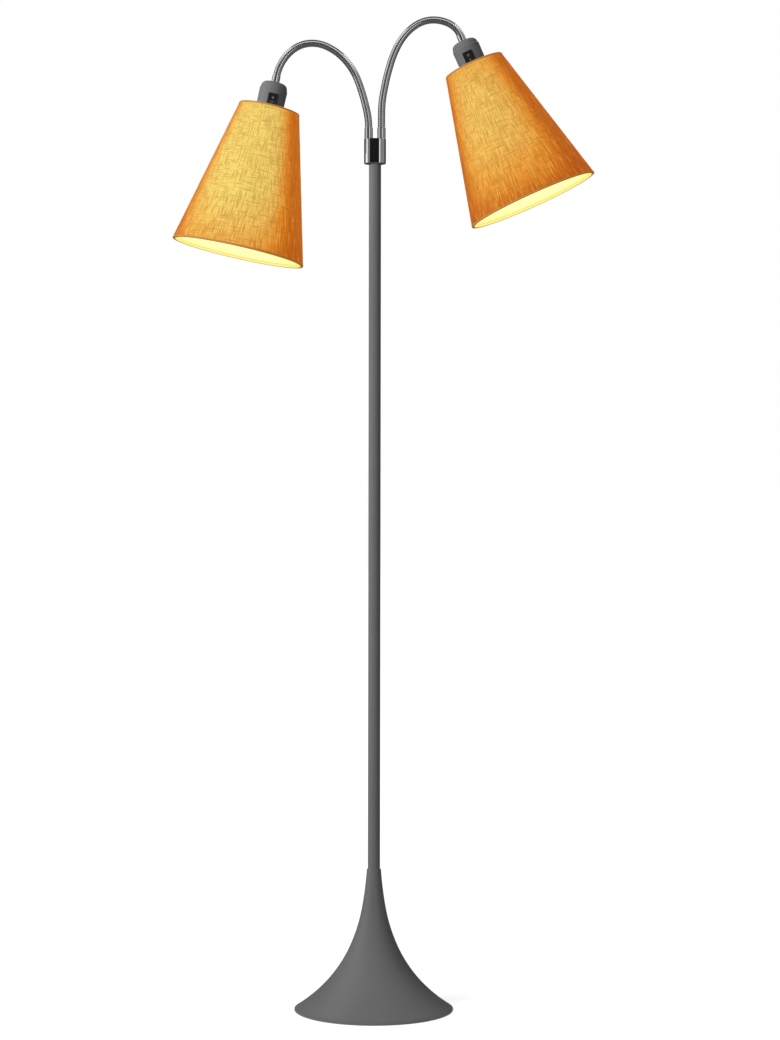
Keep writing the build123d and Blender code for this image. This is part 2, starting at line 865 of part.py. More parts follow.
def shade_frame(head):
    """Top wire ring, three spokes and the flat fitter ring, welded together."""
    ring_depth = shade_drop + wire_radius
    ring_radius = cone_radius(ring_depth) - wire_inset
    with BuildPart() as frame:
        wire_ring(head, ring_depth)
        with BuildSketch(head.square(fitter_depth)):
            Circle(fitter_radius)
            Circle(fitter_bore, mode=Mode.SUBTRACT)
        extrude(amount=fitter_thickness)
        for spoke in range(spoke_count):
            angle = 2 * pi * (spoke + 0.5) / spoke_count
            outward = head.across * cos(angle) + head.forward * sin(angle)
            inner = head.top + outward * (fitter_radius - spoke_radius) + head.down * fitter_depth
            outer = head.top + outward * ring_radius + head.down * ring_depth
            with BuildSketch(Plane(origin=inner, z_dir=outer - inner)):
                RegularPolygon(spoke_radius, spoke_sides)
            extrude(amount=(outer - inner).length)
    return frame


def shade_bottom_ring(head):
    with BuildPart() as ring:
        wire_ring(head, shade_mouth - wire_radius)
    return ring


def cone_shell(head, outer_inset, inner_inset):
    """A conical skin between two insets from the fabric's outer surface."""
    return turned(
        head,
        (
            (shade_top_radius - outer_inset, shade_drop),
            (shade_bottom_radius - outer_inset, shade_mouth),
            (shade_bottom_radius - inner_inset, shade_mouth),
            (shade_top_radius - inner_inset, shade_drop),
        ),
    )


def shade_cover(head):
    return cone_shell(head, 0, fabric_inset)


def shade_liner(head):
    return cone_shell(head, liner_inset, liner_inset + liner_thickness / cos(shade_slope))


def crown_points(wall):
    """The bulb's round part as short straight cones, from its shoulder to its flat tip."""
    radius = bulb_radius - wall
    start, tip = -radians(bulb_shoulder_angle), atan2(bulb_crown, bulb_tip_radius)
    angles = [start + (tip - start) * step / bulb_crown_steps for step in range(bulb_crown_steps + 1)]
    return [(radius * cos(angle), bulb_centre + radius * sin(angle)) for angle in angles]


def bulb_glass(head):
    """Hollow pear-shaped bulb: a neck that swells into a nearly round crown."""
    neck = bulb_cap_mouth
    swell = neck + bulb_neck_swell_depth
    outside, inside = crown_points(0), crown_points(bulb_wall)
    return turned(
        head,
        (
            (bulb_neck_radius, neck),
            (bulb_neck_swell, swell),
            *outside,
            (0, outside[-1][1]),
            (0, inside[-1][1]),
            *reversed(inside),
            (bulb_neck_swell - bulb_wall, swell),
            (bulb_neck_radius - bulb_wall, neck),
        ),
    )


def bulb_cap(head):
    """Thin metal cup that closes the bulb's neck and stands on the centre contact."""
    return turned(
        head,
        (
            (0, contact_depth),
            (bulb_cap_tip_radius, contact_depth),
            (bulb_cap_radius, contact_depth + bulb_cap_tip_height),
            (bulb_cap_radius, bulb_cap_mouth),
            (bulb_cap_radius - bulb_cap_wall, bulb_cap_mouth),
            (bulb_cap_radius - bulb_cap_wall, contact_depth + bulb_cap_tip_height + bulb_cap_wall),
            (bulb_cap_tip_radius, contact_depth + bulb_cap_wall),
            (0, contact_depth + bulb_cap_wall),
        ),
    )


head_pieces = (
    end_ferrule,
    holder_nut,
    holder_cover,
    switch_body,
    switch_rocker,
    switch_blades,
    socket_body,
    screw_shell,
    centre_contact,
    shade_ring,
    shade_frame,
    shade_bottom_ring,
    shade_cover,
    shade_liner,
    bulb_glass,
    bulb_cap,
)
for arm in arms:
    head = Head(arm)
    for make in head_pieces:
        save(make(head), f"{head.name}_{make.__name__}")
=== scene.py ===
"""Dresses a floor lamp with two bendable arms: painted base and pole, chrome goosenecks and linen shades."""

import json
import math
import random

import bmesh
import bpy
from bpy.props import FloatProperty, FloatVectorProperty, IntProperty, PointerProperty
from mathutils import Matrix, Vector


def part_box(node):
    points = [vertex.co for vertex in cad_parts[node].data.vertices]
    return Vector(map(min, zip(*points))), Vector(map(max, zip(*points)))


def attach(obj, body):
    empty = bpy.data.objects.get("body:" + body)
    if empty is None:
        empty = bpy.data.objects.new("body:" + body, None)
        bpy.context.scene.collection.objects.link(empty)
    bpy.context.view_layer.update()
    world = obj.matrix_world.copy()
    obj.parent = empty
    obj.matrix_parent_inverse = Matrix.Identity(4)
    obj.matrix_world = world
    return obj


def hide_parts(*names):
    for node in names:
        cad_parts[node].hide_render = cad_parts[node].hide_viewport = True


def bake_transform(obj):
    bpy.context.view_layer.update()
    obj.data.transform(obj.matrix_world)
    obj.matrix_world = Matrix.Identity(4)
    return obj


bl_info = {
    "name": "Gooseneck floor lamp",
    "version": (1, 0, 0),
    "blender": (4, 5, 0),
    "location": "View3D > Sidebar > Lamp",
    "description": "Gives a two-arm floor lamp its finishes, hoses, shades and studio",
    "category": "Object",
}

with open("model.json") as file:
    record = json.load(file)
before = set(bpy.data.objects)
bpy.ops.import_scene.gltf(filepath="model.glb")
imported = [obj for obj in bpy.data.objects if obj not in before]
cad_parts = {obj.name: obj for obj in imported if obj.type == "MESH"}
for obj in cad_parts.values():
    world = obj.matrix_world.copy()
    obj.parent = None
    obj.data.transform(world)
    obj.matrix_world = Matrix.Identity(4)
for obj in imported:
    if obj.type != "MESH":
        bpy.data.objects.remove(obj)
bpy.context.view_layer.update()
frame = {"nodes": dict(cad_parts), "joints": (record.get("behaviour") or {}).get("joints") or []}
NODES = frame["nodes"]
MM = 0.001

# ---------------------------------------------------------------- the arms' and heads' places

# Each arm's centreline is a chain of equal arcs; these are their turns in degrees, from the ferrule up.
ARC_LENGTH = 24.12 * MM
ARCS_PER_SPAN = 2
BENDS = {
    "left": (12.5, 3.5, 5.5, 14.0, 15.0, 17.5, 27.5, 30.0, 22.5, 19.7),
    "right": (1.0, 8.5, 3.5, 4.0, 8.5, 14.0, 20.5, 29.5, 26.0, 40.6),
}
OUTWARD = {"left": -1, "right": 1}
SPAN_LENGTH = ARC_LENGTH * ARCS_PER_SPAN
SLEEVE_LENGTH = 10.8 * MM

# Depths in a head, from the cover's flat top along the axis
SHADE_TOP_DEPTH = 39.0 * MM
SHADE_HEIGHT = 218.0 * MM
SHADE_TOP_RADIUS = 45.0 * MM
SHADE_BOTTOM_RADIUS = 98.8 * MM
RING_INSET = 2.99 * MM
BULB_DEPTH = 132.15 * MM
FITTER_DEPTH = 57.0 * MM
HEAD_TURN = math.radians(9.0)
SHADE_SLOPE = math.atan2(SHADE_BOTTOM_RADIUS - SHADE_TOP_RADIUS, SHADE_HEIGHT)
SQUARE = ((-1, -1), (1, -1), (1, 1), (-1, 1))


class ArmLine:
    """The centreline of one gooseneck, measured along it from the top of its ferrule."""

    def __init__(self, side):
        low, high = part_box(f"{side}_arm_ferrule")
        self.outward = OUTWARD[side]
        self.bends = BENDS[side]
        self.length = ARC_LENGTH * len(self.bends)
        self.starts = [((low.x + high.x) / 2, high.z, 0.0)]
        for bend in self.bends:
            self.starts.append(self.follow(self.starts[-1], bend, ARC_LENGTH))

    def follow(self, start, bend, distance):
        """The x, z and heading after some distance on an arc that starts at start."""
        x, z, heading = start
        half_turn = math.radians(bend) * distance / ARC_LENGTH / 2
        chord = distance * (math.sin(half_turn) / half_turn if half_turn else 1.0)
        middle = heading + half_turn
        step_x = self.outward * chord * math.sin(middle)
        return (x + step_x, z + chord * math.cos(middle), heading + 2 * half_turn)

    def at(self, distance):
        """The point and the heading, in radians from upright, at a distance."""
        if distance < 0:
            x, z, heading = self.starts[0]
            return Vector((x, 0, z + distance)), heading
        if distance >= self.length:
            x, z, heading = self.starts[-1]
            past = distance - self.length
            forward = Vector((self.outward * math.sin(heading), 0, math.cos(heading)))
            return Vector((x, 0, z)) + forward * past, heading
        index = min(int(distance / ARC_LENGTH), len(self.bends) - 1)
        past = distance - index * ARC_LENGTH
        x, z, heading = self.follow(self.starts[index], self.bends[index], past)
        return Vector((x, 0, z)), heading


def head_matrix(side):
    """The head's own frame: origin at the cover's top, X across, Y to the back and Z up along its axis."""
    line = ArmLine(side)
    top, heading = line.at(line.length + SLEEVE_LENGTH)
    up = -Vector((line.outward * math.sin(heading), 0, math.cos(heading)))
    level, away = Vector((up.z, 0, -up.x)), Vector((0, 1, 0))
    turn = -line.outward * HEAD_TURN
    across = level * math.cos(turn) + away * math.sin(turn)
    back = away * math.cos(turn) - level * math.sin(turn)
    matrix = Matrix((across, back, up)).transposed().to_4x4()
    matrix.translation = top
    return matrix


def shade_radius(depth):
    """Outer radius of the fabric at a depth in the head."""
    share = (depth - SHADE_TOP_DEPTH) / SHADE_HEIGHT
    return SHADE_TOP_RADIUS + (SHADE_BOTTOM_RADIUS - SHADE_TOP_RADIUS) * share


# ---------------------------------------------------------------- settings a user would change


class LampStudioSettings(bpy.types.PropertyGroup):
    """Light, backdrop and camera"""

    key_power: FloatProperty(
        name="Key light", description="Power of the large light on the left", default=58.0, subtype="POWER"
    )
    fill_power: FloatProperty(
        name="Fill light", description="Power of the light on the right", default=4.0, subtype="POWER"
    )
    sky_strength: FloatProperty(name="Sky", description="Light from all round", default=0.2)
    floor_tone: FloatProperty(name="Floor", description="Tone of the floor", default=0.6, min=0.0, max=1.0)
    lens: FloatProperty(
        name="Lens", description="Focal length of the camera", default=82.5, subtype="DISTANCE_CAMERA"
    )
    camera_place: FloatVectorProperty(
        name="Camera",
        description="Where the camera stands",
        default=(0.023, -3.53, 0.7248),
        subtype="TRANSLATION",
    )
    camera_roll: FloatProperty(
        name="Camera roll",
        description="Turn about the line of sight",
        default=math.radians(0.088),
        subtype="ANGLE",
    )


class LampPaintSettings(bpy.types.PropertyGroup):
    """Grey coat of the base, the pole and the covers"""

    coat_colour: FloatVectorProperty(
        name="Coat", description="Colour of the grey coat", default=(0.18, 0.181, 0.185), subtype="COLOR"
    )
    cover_colour: FloatVectorProperty(
        name="Cover",
        description="Colour of the lampholder covers",
        default=(0.175, 0.175, 0.183),
        subtype="COLOR",
    )
    grain_size: FloatProperty(
        name="Grain", description="Size of the coat's fine grain", default=0.6 * MM, subtype="DISTANCE"
    )
    roughness: FloatProperty(
        name="Roughness", description="Roughness of the coat", default=0.5, min=0.0, max=1.0
    )


class LampChromeSettings(bpy.types.PropertyGroup):
    """Bright metal of the collar, ferrules and hoses"""

    colour: FloatVectorProperty(
        name="Chrome", description="Colour of the bright metal", default=(0.82, 0.82, 0.83), subtype="COLOR"
    )
    roughness: FloatProperty(
        name="Roughness", description="Roughness of the bright metal", default=0.07, min=0.0, max=1.0
    )
    # Painted shade: the near-black colour that darkens the winding's grooves, where shade falls between the
    # ribs.
    groove_shade_colour: FloatVectorProperty(
        name="Groove",
        description="Colour deep in the winding's grooves",
        default=(0.02, 0.02, 0.022),
        subtype="COLOR",
    )


class LampHoseSettings(bpy.types.PropertyGroup):
    """Ribbed gooseneck hose"""

    turns_per_span: IntProperty(name="Turns", description="Turns of the winding in one span", default=16)
    crest_radius: FloatProperty(
        name="Radius", description="Radius over the ribs", default=5.4 * MM, subtype="DISTANCE"
    )
    groove_depth: FloatProperty(
        name="Groove", description="Depth of the groove between ribs", default=0.5 * MM, subtype="DISTANCE"
    )
    sides: IntProperty(name="Sides", description="Points round the hose", default=24)
    rows_per_turn: IntProperty(name="Rows", description="Rows of points in one turn", default=12)
    flatness: IntProperty(
        name="Flatness", description="How flat the ribs are on top, as the power of their curve", default=14
    )


class LampShadeSettings(bpy.types.PropertyGroup):
    """Linen shades and their glow"""

    cloth_colour: FloatVectorProperty(
        name="Linen",
        description="Colour of the linen in white light",
        default=(0.17, 0.165, 0.045),
        subtype="COLOR",
    )
    # Painted shade: the linen's own colour is darkened to this where little light comes through.
    painted_shade_colour: FloatVectorProperty(
        name="Linen, deep",
        description="Colour of the linen where little light comes through",
        default=(0.14, 0.045, 0.003),
        subtype="COLOR",
    )
    thread_colour: FloatVectorProperty(
        name="Slubs", description="Colour of the thick threads", default=(0.09, 0.065, 0.012), subtype="COLOR"
    )
    slub_shadow: FloatVectorProperty(
        name="Slubs, lit",
        description="Light that comes through the thick threads",
        default=(0.3, 0.08, 0.002),
        subtype="COLOR",
    )
    hem_colour: FloatVectorProperty(
        name="Edge", description="Colour of the turned edge", default=(0.3, 0.2, 0.075), subtype="COLOR"
    )
    hem_lit_colour: FloatVectorProperty(
        name="Edge, lit",
        description="Light on the side of the turned edge that faces the bulb",
        default=(1.0, 0.92, 0.22),
        subtype="COLOR",
    )
    glow_far: FloatVectorProperty(
        name="Glow, far",
        description="Light through the cloth far from the bulb",
        default=(0.36, 0.05, 0.001),
        subtype="COLOR",
    )
    glow_middle: FloatVectorProperty(
        name="Glow, middle",
        description="Light through the cloth between",
        default=(0.7, 0.2, 0.004),
        subtype="COLOR",
    )
    glow_near: FloatVectorProperty(
        name="Glow, near",
        description="Light through the cloth near the bulb",
        default=(0.76, 0.53, 0.12),
        subtype="COLOR",
    )
    glow_strength: FloatProperty(name="Glow", description="Strength of the glow", default=1.08)
    inside_colour: FloatVectorProperty(
        name="Inside", description="Colour of the lit inside", default=(1.0, 0.84, 0.28), subtype="COLOR"
    )
    inside_near_colour: FloatVectorProperty(
        name="Inside, near",
        description="Colour of the lit inside near the bulb",
        default=(1.0, 0.94, 0.52),
        subtype="COLOR",
    )
    inside_strength: FloatProperty(name="Inside glow", description="Strength of the lit inside", default=0.95)
    cloth_thickness: FloatProperty(
        name="Thickness", description="Thickness of the linen", default=0.7 * MM, subtype="DISTANCE"
    )
    hem_height: FloatProperty(
        name="Hem", description="Height of the turned edge", default=2.2 * MM, subtype="DISTANCE"
    )
    seam_width: FloatProperty(
        name="Seam", description="Width of the glued seam at the back", default=9.0 * MM, subtype="DISTANCE"
    )


class LampSwitchSettings(bpy.types.PropertyGroup):
    """Marks on the rocker switches"""

    mark_colour: FloatVectorProperty(
        name="Marks", description="Colour of the on and off marks", default=(0.5, 0.5, 0.5), subtype="COLOR"
    )
    mark_height: FloatProperty(
        name="Mark height", description="Height of the on mark", default=2.8 * MM, subtype="DISTANCE"
    )
    mark_stroke: FloatProperty(
        name="Mark stroke", description="Width of a mark's line", default=0.5 * MM, subtype="DISTANCE"
    )


# ---------------------------------------------------------------- small makers


def add_object(name, mesh, matrix=None):
    """Puts a mesh in the scene as a piece, smooth shaded."""
    piece = bpy.data.objects.new(name, mesh)
    bpy.context.scene.collection.objects.link(piece)
    for face in mesh.polygons:
        face.use_smooth = True
    if matrix is not None:
        piece.matrix_world = matrix
    return piece


def mesh_from(name, build):
    """A mesh from a function that fills a bmesh, with faces turned outwards."""
    shape = bmesh.new()
    build(shape)
    bmesh.ops.recalc_face_normals(shape, faces=shape.faces)
    mesh = bpy.data.meshes.new(name)
    shape.to_mesh(mesh)
    shape.free()
    return mesh


def join_rings(shape, rings):
    """Faces between each ring of points and the next one."""
    for first, second in zip(rings, rings[1:]):
        for step in range(len(first)):
            following = (step + 1) % len(first)
            shape.faces.new((first[step], first[following], second[following], second[step]))


def add_lathe(shape, profile, segments):
    """Turns a closed profile of (radius, height) about Z."""
    rings = []
    for radius, height in profile:
        ring = []
        for step in range(segments):
            angle = math.tau * step / segments
            ring.append(shape.verts.new((radius * math.cos(angle), radius * math.sin(angle), height)))
        rings.append(ring)
    join_rings(shape, [*rings, rings[0]])


def add_tube(shape, points, radius, sides):
    """A round tube through a few points, with closed ends."""
    rings = []
    for index, point in enumerate(points):
        before = points[max(index - 1, 0)]
        after = points[min(index + 1, len(points) - 1)]
        turn = (after - before).normalized().to_track_quat("Z", "Y")
        ring = []
        for step in range(sides):
            angle = math.tau * step / sides
            offset = turn @ Vector((radius * math.cos(angle), radius * math.sin(angle), 0))
            ring.append(shape.verts.new(point + offset))
        rings.append(ring)
    join_rings(shape, rings)
    shape.faces.new(reversed(rings[0]))
    shape.faces.new(rings[-1])


def dress(piece, material):
    """Gives a piece one material."""
    piece.data.materials.clear()
    piece.data.materials.append(material)


def keep_glow_off(piece):
    """Keeps a glowing piece out of the other pieces' reflections and light, as the photograph has it."""
    piece.visible_glossy = piece.visible_diffuse = False


# ---------------------------------------------------------------- shader groups


def new_group(name, inputs, outputs):
    """An empty shader group whose sockets all carry numbers."""
    group = bpy.data.node_groups.new(name, "ShaderNodeTree")
    for socket, default in inputs:
        made = group.interface.new_socket(socket, in_out="INPUT", socket_type="NodeSocketFloat")
        made.default_value = default
    for socket in outputs:
        group.interface.new_socket(socket, in_out="OUTPUT", socket_type="NodeSocketFloat")
    return group, group.nodes.new("NodeGroupInput"), group.nodes.new("NodeGroupOutput")


def node(tree, kind, **settings):
    """A node of a kind, with its properties set."""
    made = tree.nodes.new(kind)
    for name, value in settings.items():
        setattr(made, name, value)
    return made


def feed(tree, made, values):
    """Feeds a node's inputs in order; each value is a number or a socket to link."""
    for socket, value in zip(made.inputs, values):
        if isinstance(value, (int, float)):
            socket.default_value = value
        else:
            tree.links.new(value, socket)
    return made.outputs[0]


def math_node(tree, operation, *values):
    """A maths node of numbers or sockets."""
    return feed(tree, node(tree, "ShaderNodeMath", operation=operation), values)


def combine(tree, *values):
    """A vector from three numbers or sockets."""
    return feed(tree, node(tree, "ShaderNodeCombineXYZ"), values)


def noise_node(tree, vector, detail=2.0, roughness=0.5):
    """Noise of unit scale on a vector that already carries its scale."""
    made = node(tree, "ShaderNodeTexNoise")
    made.inputs["Scale"].default_value = 1.0
    made.inputs["Detail"].default_value = detail
    made.inputs["Roughness"].default_value = roughness
    tree.links.new(vector, made.inputs["Vector"])
    return made.outputs["Fac"]


def map_range(tree, value, low, high, new_low=0.0, new_high=1.0):
    """A value remapped and clamped."""
    made = node(tree, "ShaderNodeMapRange", interpolation_type="SMOOTHSTEP")
    tree.links.new(value, made.inputs["Value"])
    for name, number in (("From Min", low), ("From Max", high), ("To Min", new_low), ("To Max", new_high)):
        made.inputs[name].default_value = number
    return made.outputs["Result"]


def grain_group():
    """Fine grain of a coat or a moulding: a height for bump and a slow change of tone."""
    group, inputs, outputs = new_group("fine_grain", [("Size", 0.6 * MM)], ["Height", "Tone"])
    place = node(group, "ShaderNodeTexCoord").outputs["Object"]
    scale = math_node(group, "DIVIDE", 1.0, inputs.outputs["Size"])
    scaled = node(group, "ShaderNodeVectorMath", operation="SCALE")
    group.links.new(place, scaled.inputs[0])
    group.links.new(scale, scaled.inputs["Scale"])
    fine = noise_node(group, scaled.outputs[0], 3.0, 0.6)
    slow = node(group, "ShaderNodeVectorMath", operation="SCALE")
    slow.inputs["Scale"].default_value = 9.0
    group.links.new(place, slow.inputs[0])
    cloudy = noise_node(group, slow.outputs[0], 4.0, 0.6)
    group.links.new(fine, outputs.inputs["Height"])
    group.links.new(map_range(group, cloudy, 0.3, 0.7), outputs.inputs["Tone"])
    return group


def linen_group():
    """Linen on a cone: threads along it and round it, with thick slubs, from the piece's own place."""
    group, inputs, outputs = new_group(
        "linen_weave",
        [("Mean Radius", 0.07), ("Thread", 1.1 * MM), ("Slub", 1.35 * MM)],
        ["Height", "Weave", "Slubs", "Streaks", "Seam"],
    )
    mean_radius = inputs.outputs["Mean Radius"]
    thread_width, slub_width = inputs.outputs["Thread"], inputs.outputs["Slub"]
    wander_across, wander_along, wander_turn = 300.0, 40.0, 5.0
    slub_relief = 0.8
    seam_start, seam_full = 3.06, 3.085
    angle, z = cone_place(group)
    round_way = math_node(group, "MULTIPLY", angle, mean_radius)

    def wave(across, along):
        """The ups and downs of one set of threads, which wander a little."""
        turns = math_node(group, "MULTIPLY", math_node(group, "DIVIDE", across, thread_width), math.tau)
        slow_across = math_node(group, "MULTIPLY", across, wander_across)
        slow_along = math_node(group, "MULTIPLY", along, wander_along)
        wander = noise_node(group, combine(group, slow_across, slow_along, 0.0), 1.0)
        wander = math_node(group, "MULTIPLY", wander, wander_turn)
        return math_node(group, "SINE", math_node(group, "ADD", turns, wander))

    def long_threads(across, along, shortening, offset, low, high):
        """Long thin marks along the threads."""
        shortened = math_node(group, "MULTIPLY", math_node(group, "DIVIDE", along, slub_width), shortening)
        place = combine(group, math_node(group, "DIVIDE", across, slub_width), shortened, offset)
        return map_range(group, noise_node(group, place, 2.0, 0.55), low, high)

    crossed = math_node(group, "ADD", wave(round_way, z), wave(z, round_way))
    weave = math_node(group, "ADD", math_node(group, "MULTIPLY", crossed, 0.25), 0.5)
    along_slubs = long_threads(round_way, z, shortening=0.085, offset=3.7, low=0.45, high=0.66)
    round_slubs = long_threads(z, round_way, shortening=0.075, offset=11.3, low=0.48, high=0.68)
    slub = math_node(group, "MAXIMUM", along_slubs, round_slubs)
    streaks = long_threads(round_way, z, shortening=0.05, offset=23.9, low=0.48, high=0.72)
    seam = map_range(group, math_node(group, "ABSOLUTE", angle), seam_start, seam_full)
    height = math_node(group, "ADD", weave, math_node(group, "MULTIPLY", slub, slub_relief))
    results = {"Height": height, "Weave": weave, "Slubs": slub, "Streaks": streaks, "Seam": seam}
    for name, value in results.items():
        group.links.new(value, outputs.inputs[name])
    return group


def glow_group():
    """How brightly a shade glows at a point: it fades above and below the bulb, and a painted hot spot lies
    on its front.
    """
    group, inputs, outputs = new_group(
        "bulb_glow",
        [("Bulb Height", 17 * MM - BULB_DEPTH), ("Fade", 165 * MM), ("Turn", 0.0), ("Peak", 1.0)],
        ["Glow"],
    )
    # Painted light: a hot spot on the shade's front and a weaker one on its back, with darker sides, rather
    # than a glow even all round; Turn swings the hot spot round the cone.
    front_edge, side_glow = 0.4, 0.14
    back_edge, back_glow = 0.2, 0.55
    angle, z = cone_place(group)
    facing = math_node(group, "COSINE", math_node(group, "SUBTRACT", angle, inputs.outputs["Turn"]))
    front = map_range(group, facing, front_edge, 1.0, side_glow, 1.0)
    back = map_range(group, math_node(group, "MULTIPLY", facing, -1.0), back_edge, 1.0, 0.0, back_glow)
    painted_lobes = math_node(group, "MAXIMUM", front, back)
    above = math_node(group, "SUBTRACT", z, inputs.outputs["Bulb Height"])
    rise = math_node(group, "DIVIDE", above, inputs.outputs["Fade"])
    level = math_node(group, "SUBTRACT", 1.0, math_node(group, "MULTIPLY", rise, rise))
    glow = math_node(group, "MULTIPLY", math_node(group, "MULTIPLY", painted_lobes, level), inputs.outputs["Peak"])
    group.links.new(math_node(group, "MAXIMUM", glow, 0.0), outputs.inputs["Glow"])
    return group


def cone_place(group):
    """The angle round a shade, from its front, and the height on it, from the piece's own place."""
    split = node(group, "ShaderNodeSeparateXYZ")
    group.links.new(node(group, "ShaderNodeTexCoord").outputs["Object"], split.inputs[0])
    x, y, z = split.outputs
    return math_node(group, "ARCTAN2", x, math_node(group, "MULTIPLY", y, -1.0)), z


def add_group(tree, group, **values):
    """Places a shader group with its own values; an underscore stands for a space in a name."""
    made = node(tree, "ShaderNodeGroup")
    made.node_tree = group
    for name, value in values.items():
        made.inputs[name.replace("_", " ")].default_value = value
    return made


def new_material(name):
    """A material and its shader."""
    material = bpy.data.materials.new(name)
    material.use_nodes = True
    shader = material.node_tree.nodes["Principled BSDF"]
    return material, material.node_tree, shader


def tint(tree, factor, first, second):
    """A colour between two, by a factor socket."""
    made = node(tree, "ShaderNodeMix", data_type="RGBA")
    tree.links.new(factor, made.inputs["Factor"])
    for name, colour in (("A", first), ("B", second)):
        socket = [s for s in made.inputs if s.name == name and s.type == "RGBA"][0]
        if isinstance(colour, bpy.types.NodeSocket):
            tree.links.new(colour, socket)
        else:
            socket.default_value = (*colour, 1.0)
    return [s for s in made.outputs if s.type == "RGBA"][0]


def ramp(tree, factor, stops):
    """A colour from a row of (place, colour) stops."""
    made = node(tree, "ShaderNodeValToRGB")
    while len(made.color_ramp.elements) < len(stops):
        made.color_ramp.elements.new(1.0)
    for element, (place, colour) in zip(made.color_ramp.elements, stops):
        element.position = place
        element.color = (*colour, 1.0)
    tree.links.new(factor, made.inputs["Fac"])
    return made.outputs["Color"]


def bump(tree, shader, height, distance):
    """Fine relief from a height socket."""
    made = node(tree, "ShaderNodeBump")
    made.inputs["Distance"].default_value = distance
    made.inputs["Strength"].default_value = 1.0
    tree.links.new(height, made.inputs["Height"])
    tree.links.new(made.outputs["Normal"], shader.inputs["Normal"])


def shared_group(name, build):
    """A shader group that is built once."""
    return bpy.data.node_groups.get(name) or build()


def grainy_material(name, colour, roughness, grain, relief, metallic=0.0, spread=0.12):
    """A material with fine grain: paint, moulded plastic, cast iron or felt."""
    material, tree, shader = new_material(name)
    fine = add_group(tree, shared_group("fine_grain", grain_group), Size=grain)
    darker = [c * (1 - spread) for c in colour]
    lighter = [min(c * (1 + spread), 1.0) for c in colour]
    tree.links.new(tint(tree, fine.outputs["Tone"], darker, lighter), shader.inputs["Base Color"])
    low, high = roughness * 0.9, min(roughness * 1.12, 1.0)
    tree.links.new(map_range(tree, fine.outputs["Tone"], 0.0, 1.0, low, high), shader.inputs["Roughness"])
    shader.inputs["Metallic"].default_value = metallic
    bump(tree, shader, fine.outputs["Height"], relief)
    return material


FINISHES = {
    "white_enamel": dict(
        colour=(0.78, 0.77, 0.73), roughness=0.35, grain=1.5 * MM, relief=0.01 * MM, spread=0.03
    ),
    "black_moulding": dict(colour=(0.012, 0.012, 0.013), roughness=0.42, grain=0.35 * MM, relief=0.015 * MM),
    "black_rocker": dict(colour=(0.016, 0.016, 0.018), roughness=0.3, grain=0.5 * MM, relief=0.008 * MM),
    "cap_metal": dict(
        colour=(0.72, 0.72, 0.71), roughness=0.3, grain=1.0 * MM, relief=0.02 * MM, metallic=1.0
    ),
    "holder_moulding": dict(
        colour=(0.70, 0.68, 0.62), roughness=0.45, grain=0.6 * MM, relief=0.015 * MM, spread=0.03
    ),
    "contact_brass": dict(
        colour=(0.66, 0.46, 0.18), roughness=0.3, grain=1.0 * MM, relief=0.01 * MM, metallic=1.0
    ),
    "plain_steel": dict(
        colour=(0.42, 0.42, 0.43), roughness=0.36, grain=0.8 * MM, relief=0.01 * MM, metallic=1.0
    ),
    "cast_iron": dict(
        colour=(0.10, 0.10, 0.105), roughness=0.75, grain=1.6 * MM, relief=0.12 * MM, metallic=0.6
    ),
    "felt": dict(colour=(0.035, 0.035, 0.038), roughness=0.97, grain=0.9 * MM, relief=0.25 * MM, spread=0.3),
    "black_sleeve": dict(colour=(0.015, 0.015, 0.016), roughness=0.55, grain=0.7 * MM, relief=0.02 * MM),
}


def finish(name):
    """The fine-grained material of a name."""
    return grainy_material(name, **FINISHES[name])


def chrome_material(settings, name="bright_chrome", shaded_grooves=False):
    """Polished metal with faint smears, and painted shade that darkens the grooves where it is wound."""
    groove_shade_start = 0.72
    material, tree, shader = new_material(name)
    smears = add_group(tree, shared_group("fine_grain", grain_group), Size=2.5 * MM)
    colour = tuple(settings.colour)
    metal = tint(tree, smears.outputs["Tone"], [c * 0.95 for c in colour], colour)
    if shaded_grooves:
        # Painted shade: the metal darkens to near black deep in the grooves, from each row's place across the
        # pitch.
        groove = node(tree, "ShaderNodeAttribute", attribute_name="groove")
        depth = map_range(tree, groove.outputs["Fac"], groove_shade_start, 1.0)
        metal = tint(tree, depth, metal, tuple(settings.groove_shade_colour))
    tree.links.new(metal, shader.inputs["Base Color"])
    shader.inputs["Metallic"].default_value = 1.0
    low, high = settings.roughness * 0.8, settings.roughness * 1.4
    tree.links.new(map_range(tree, smears.outputs["Height"], 0.3, 0.7, low, high), shader.inputs["Roughness"])
    return material


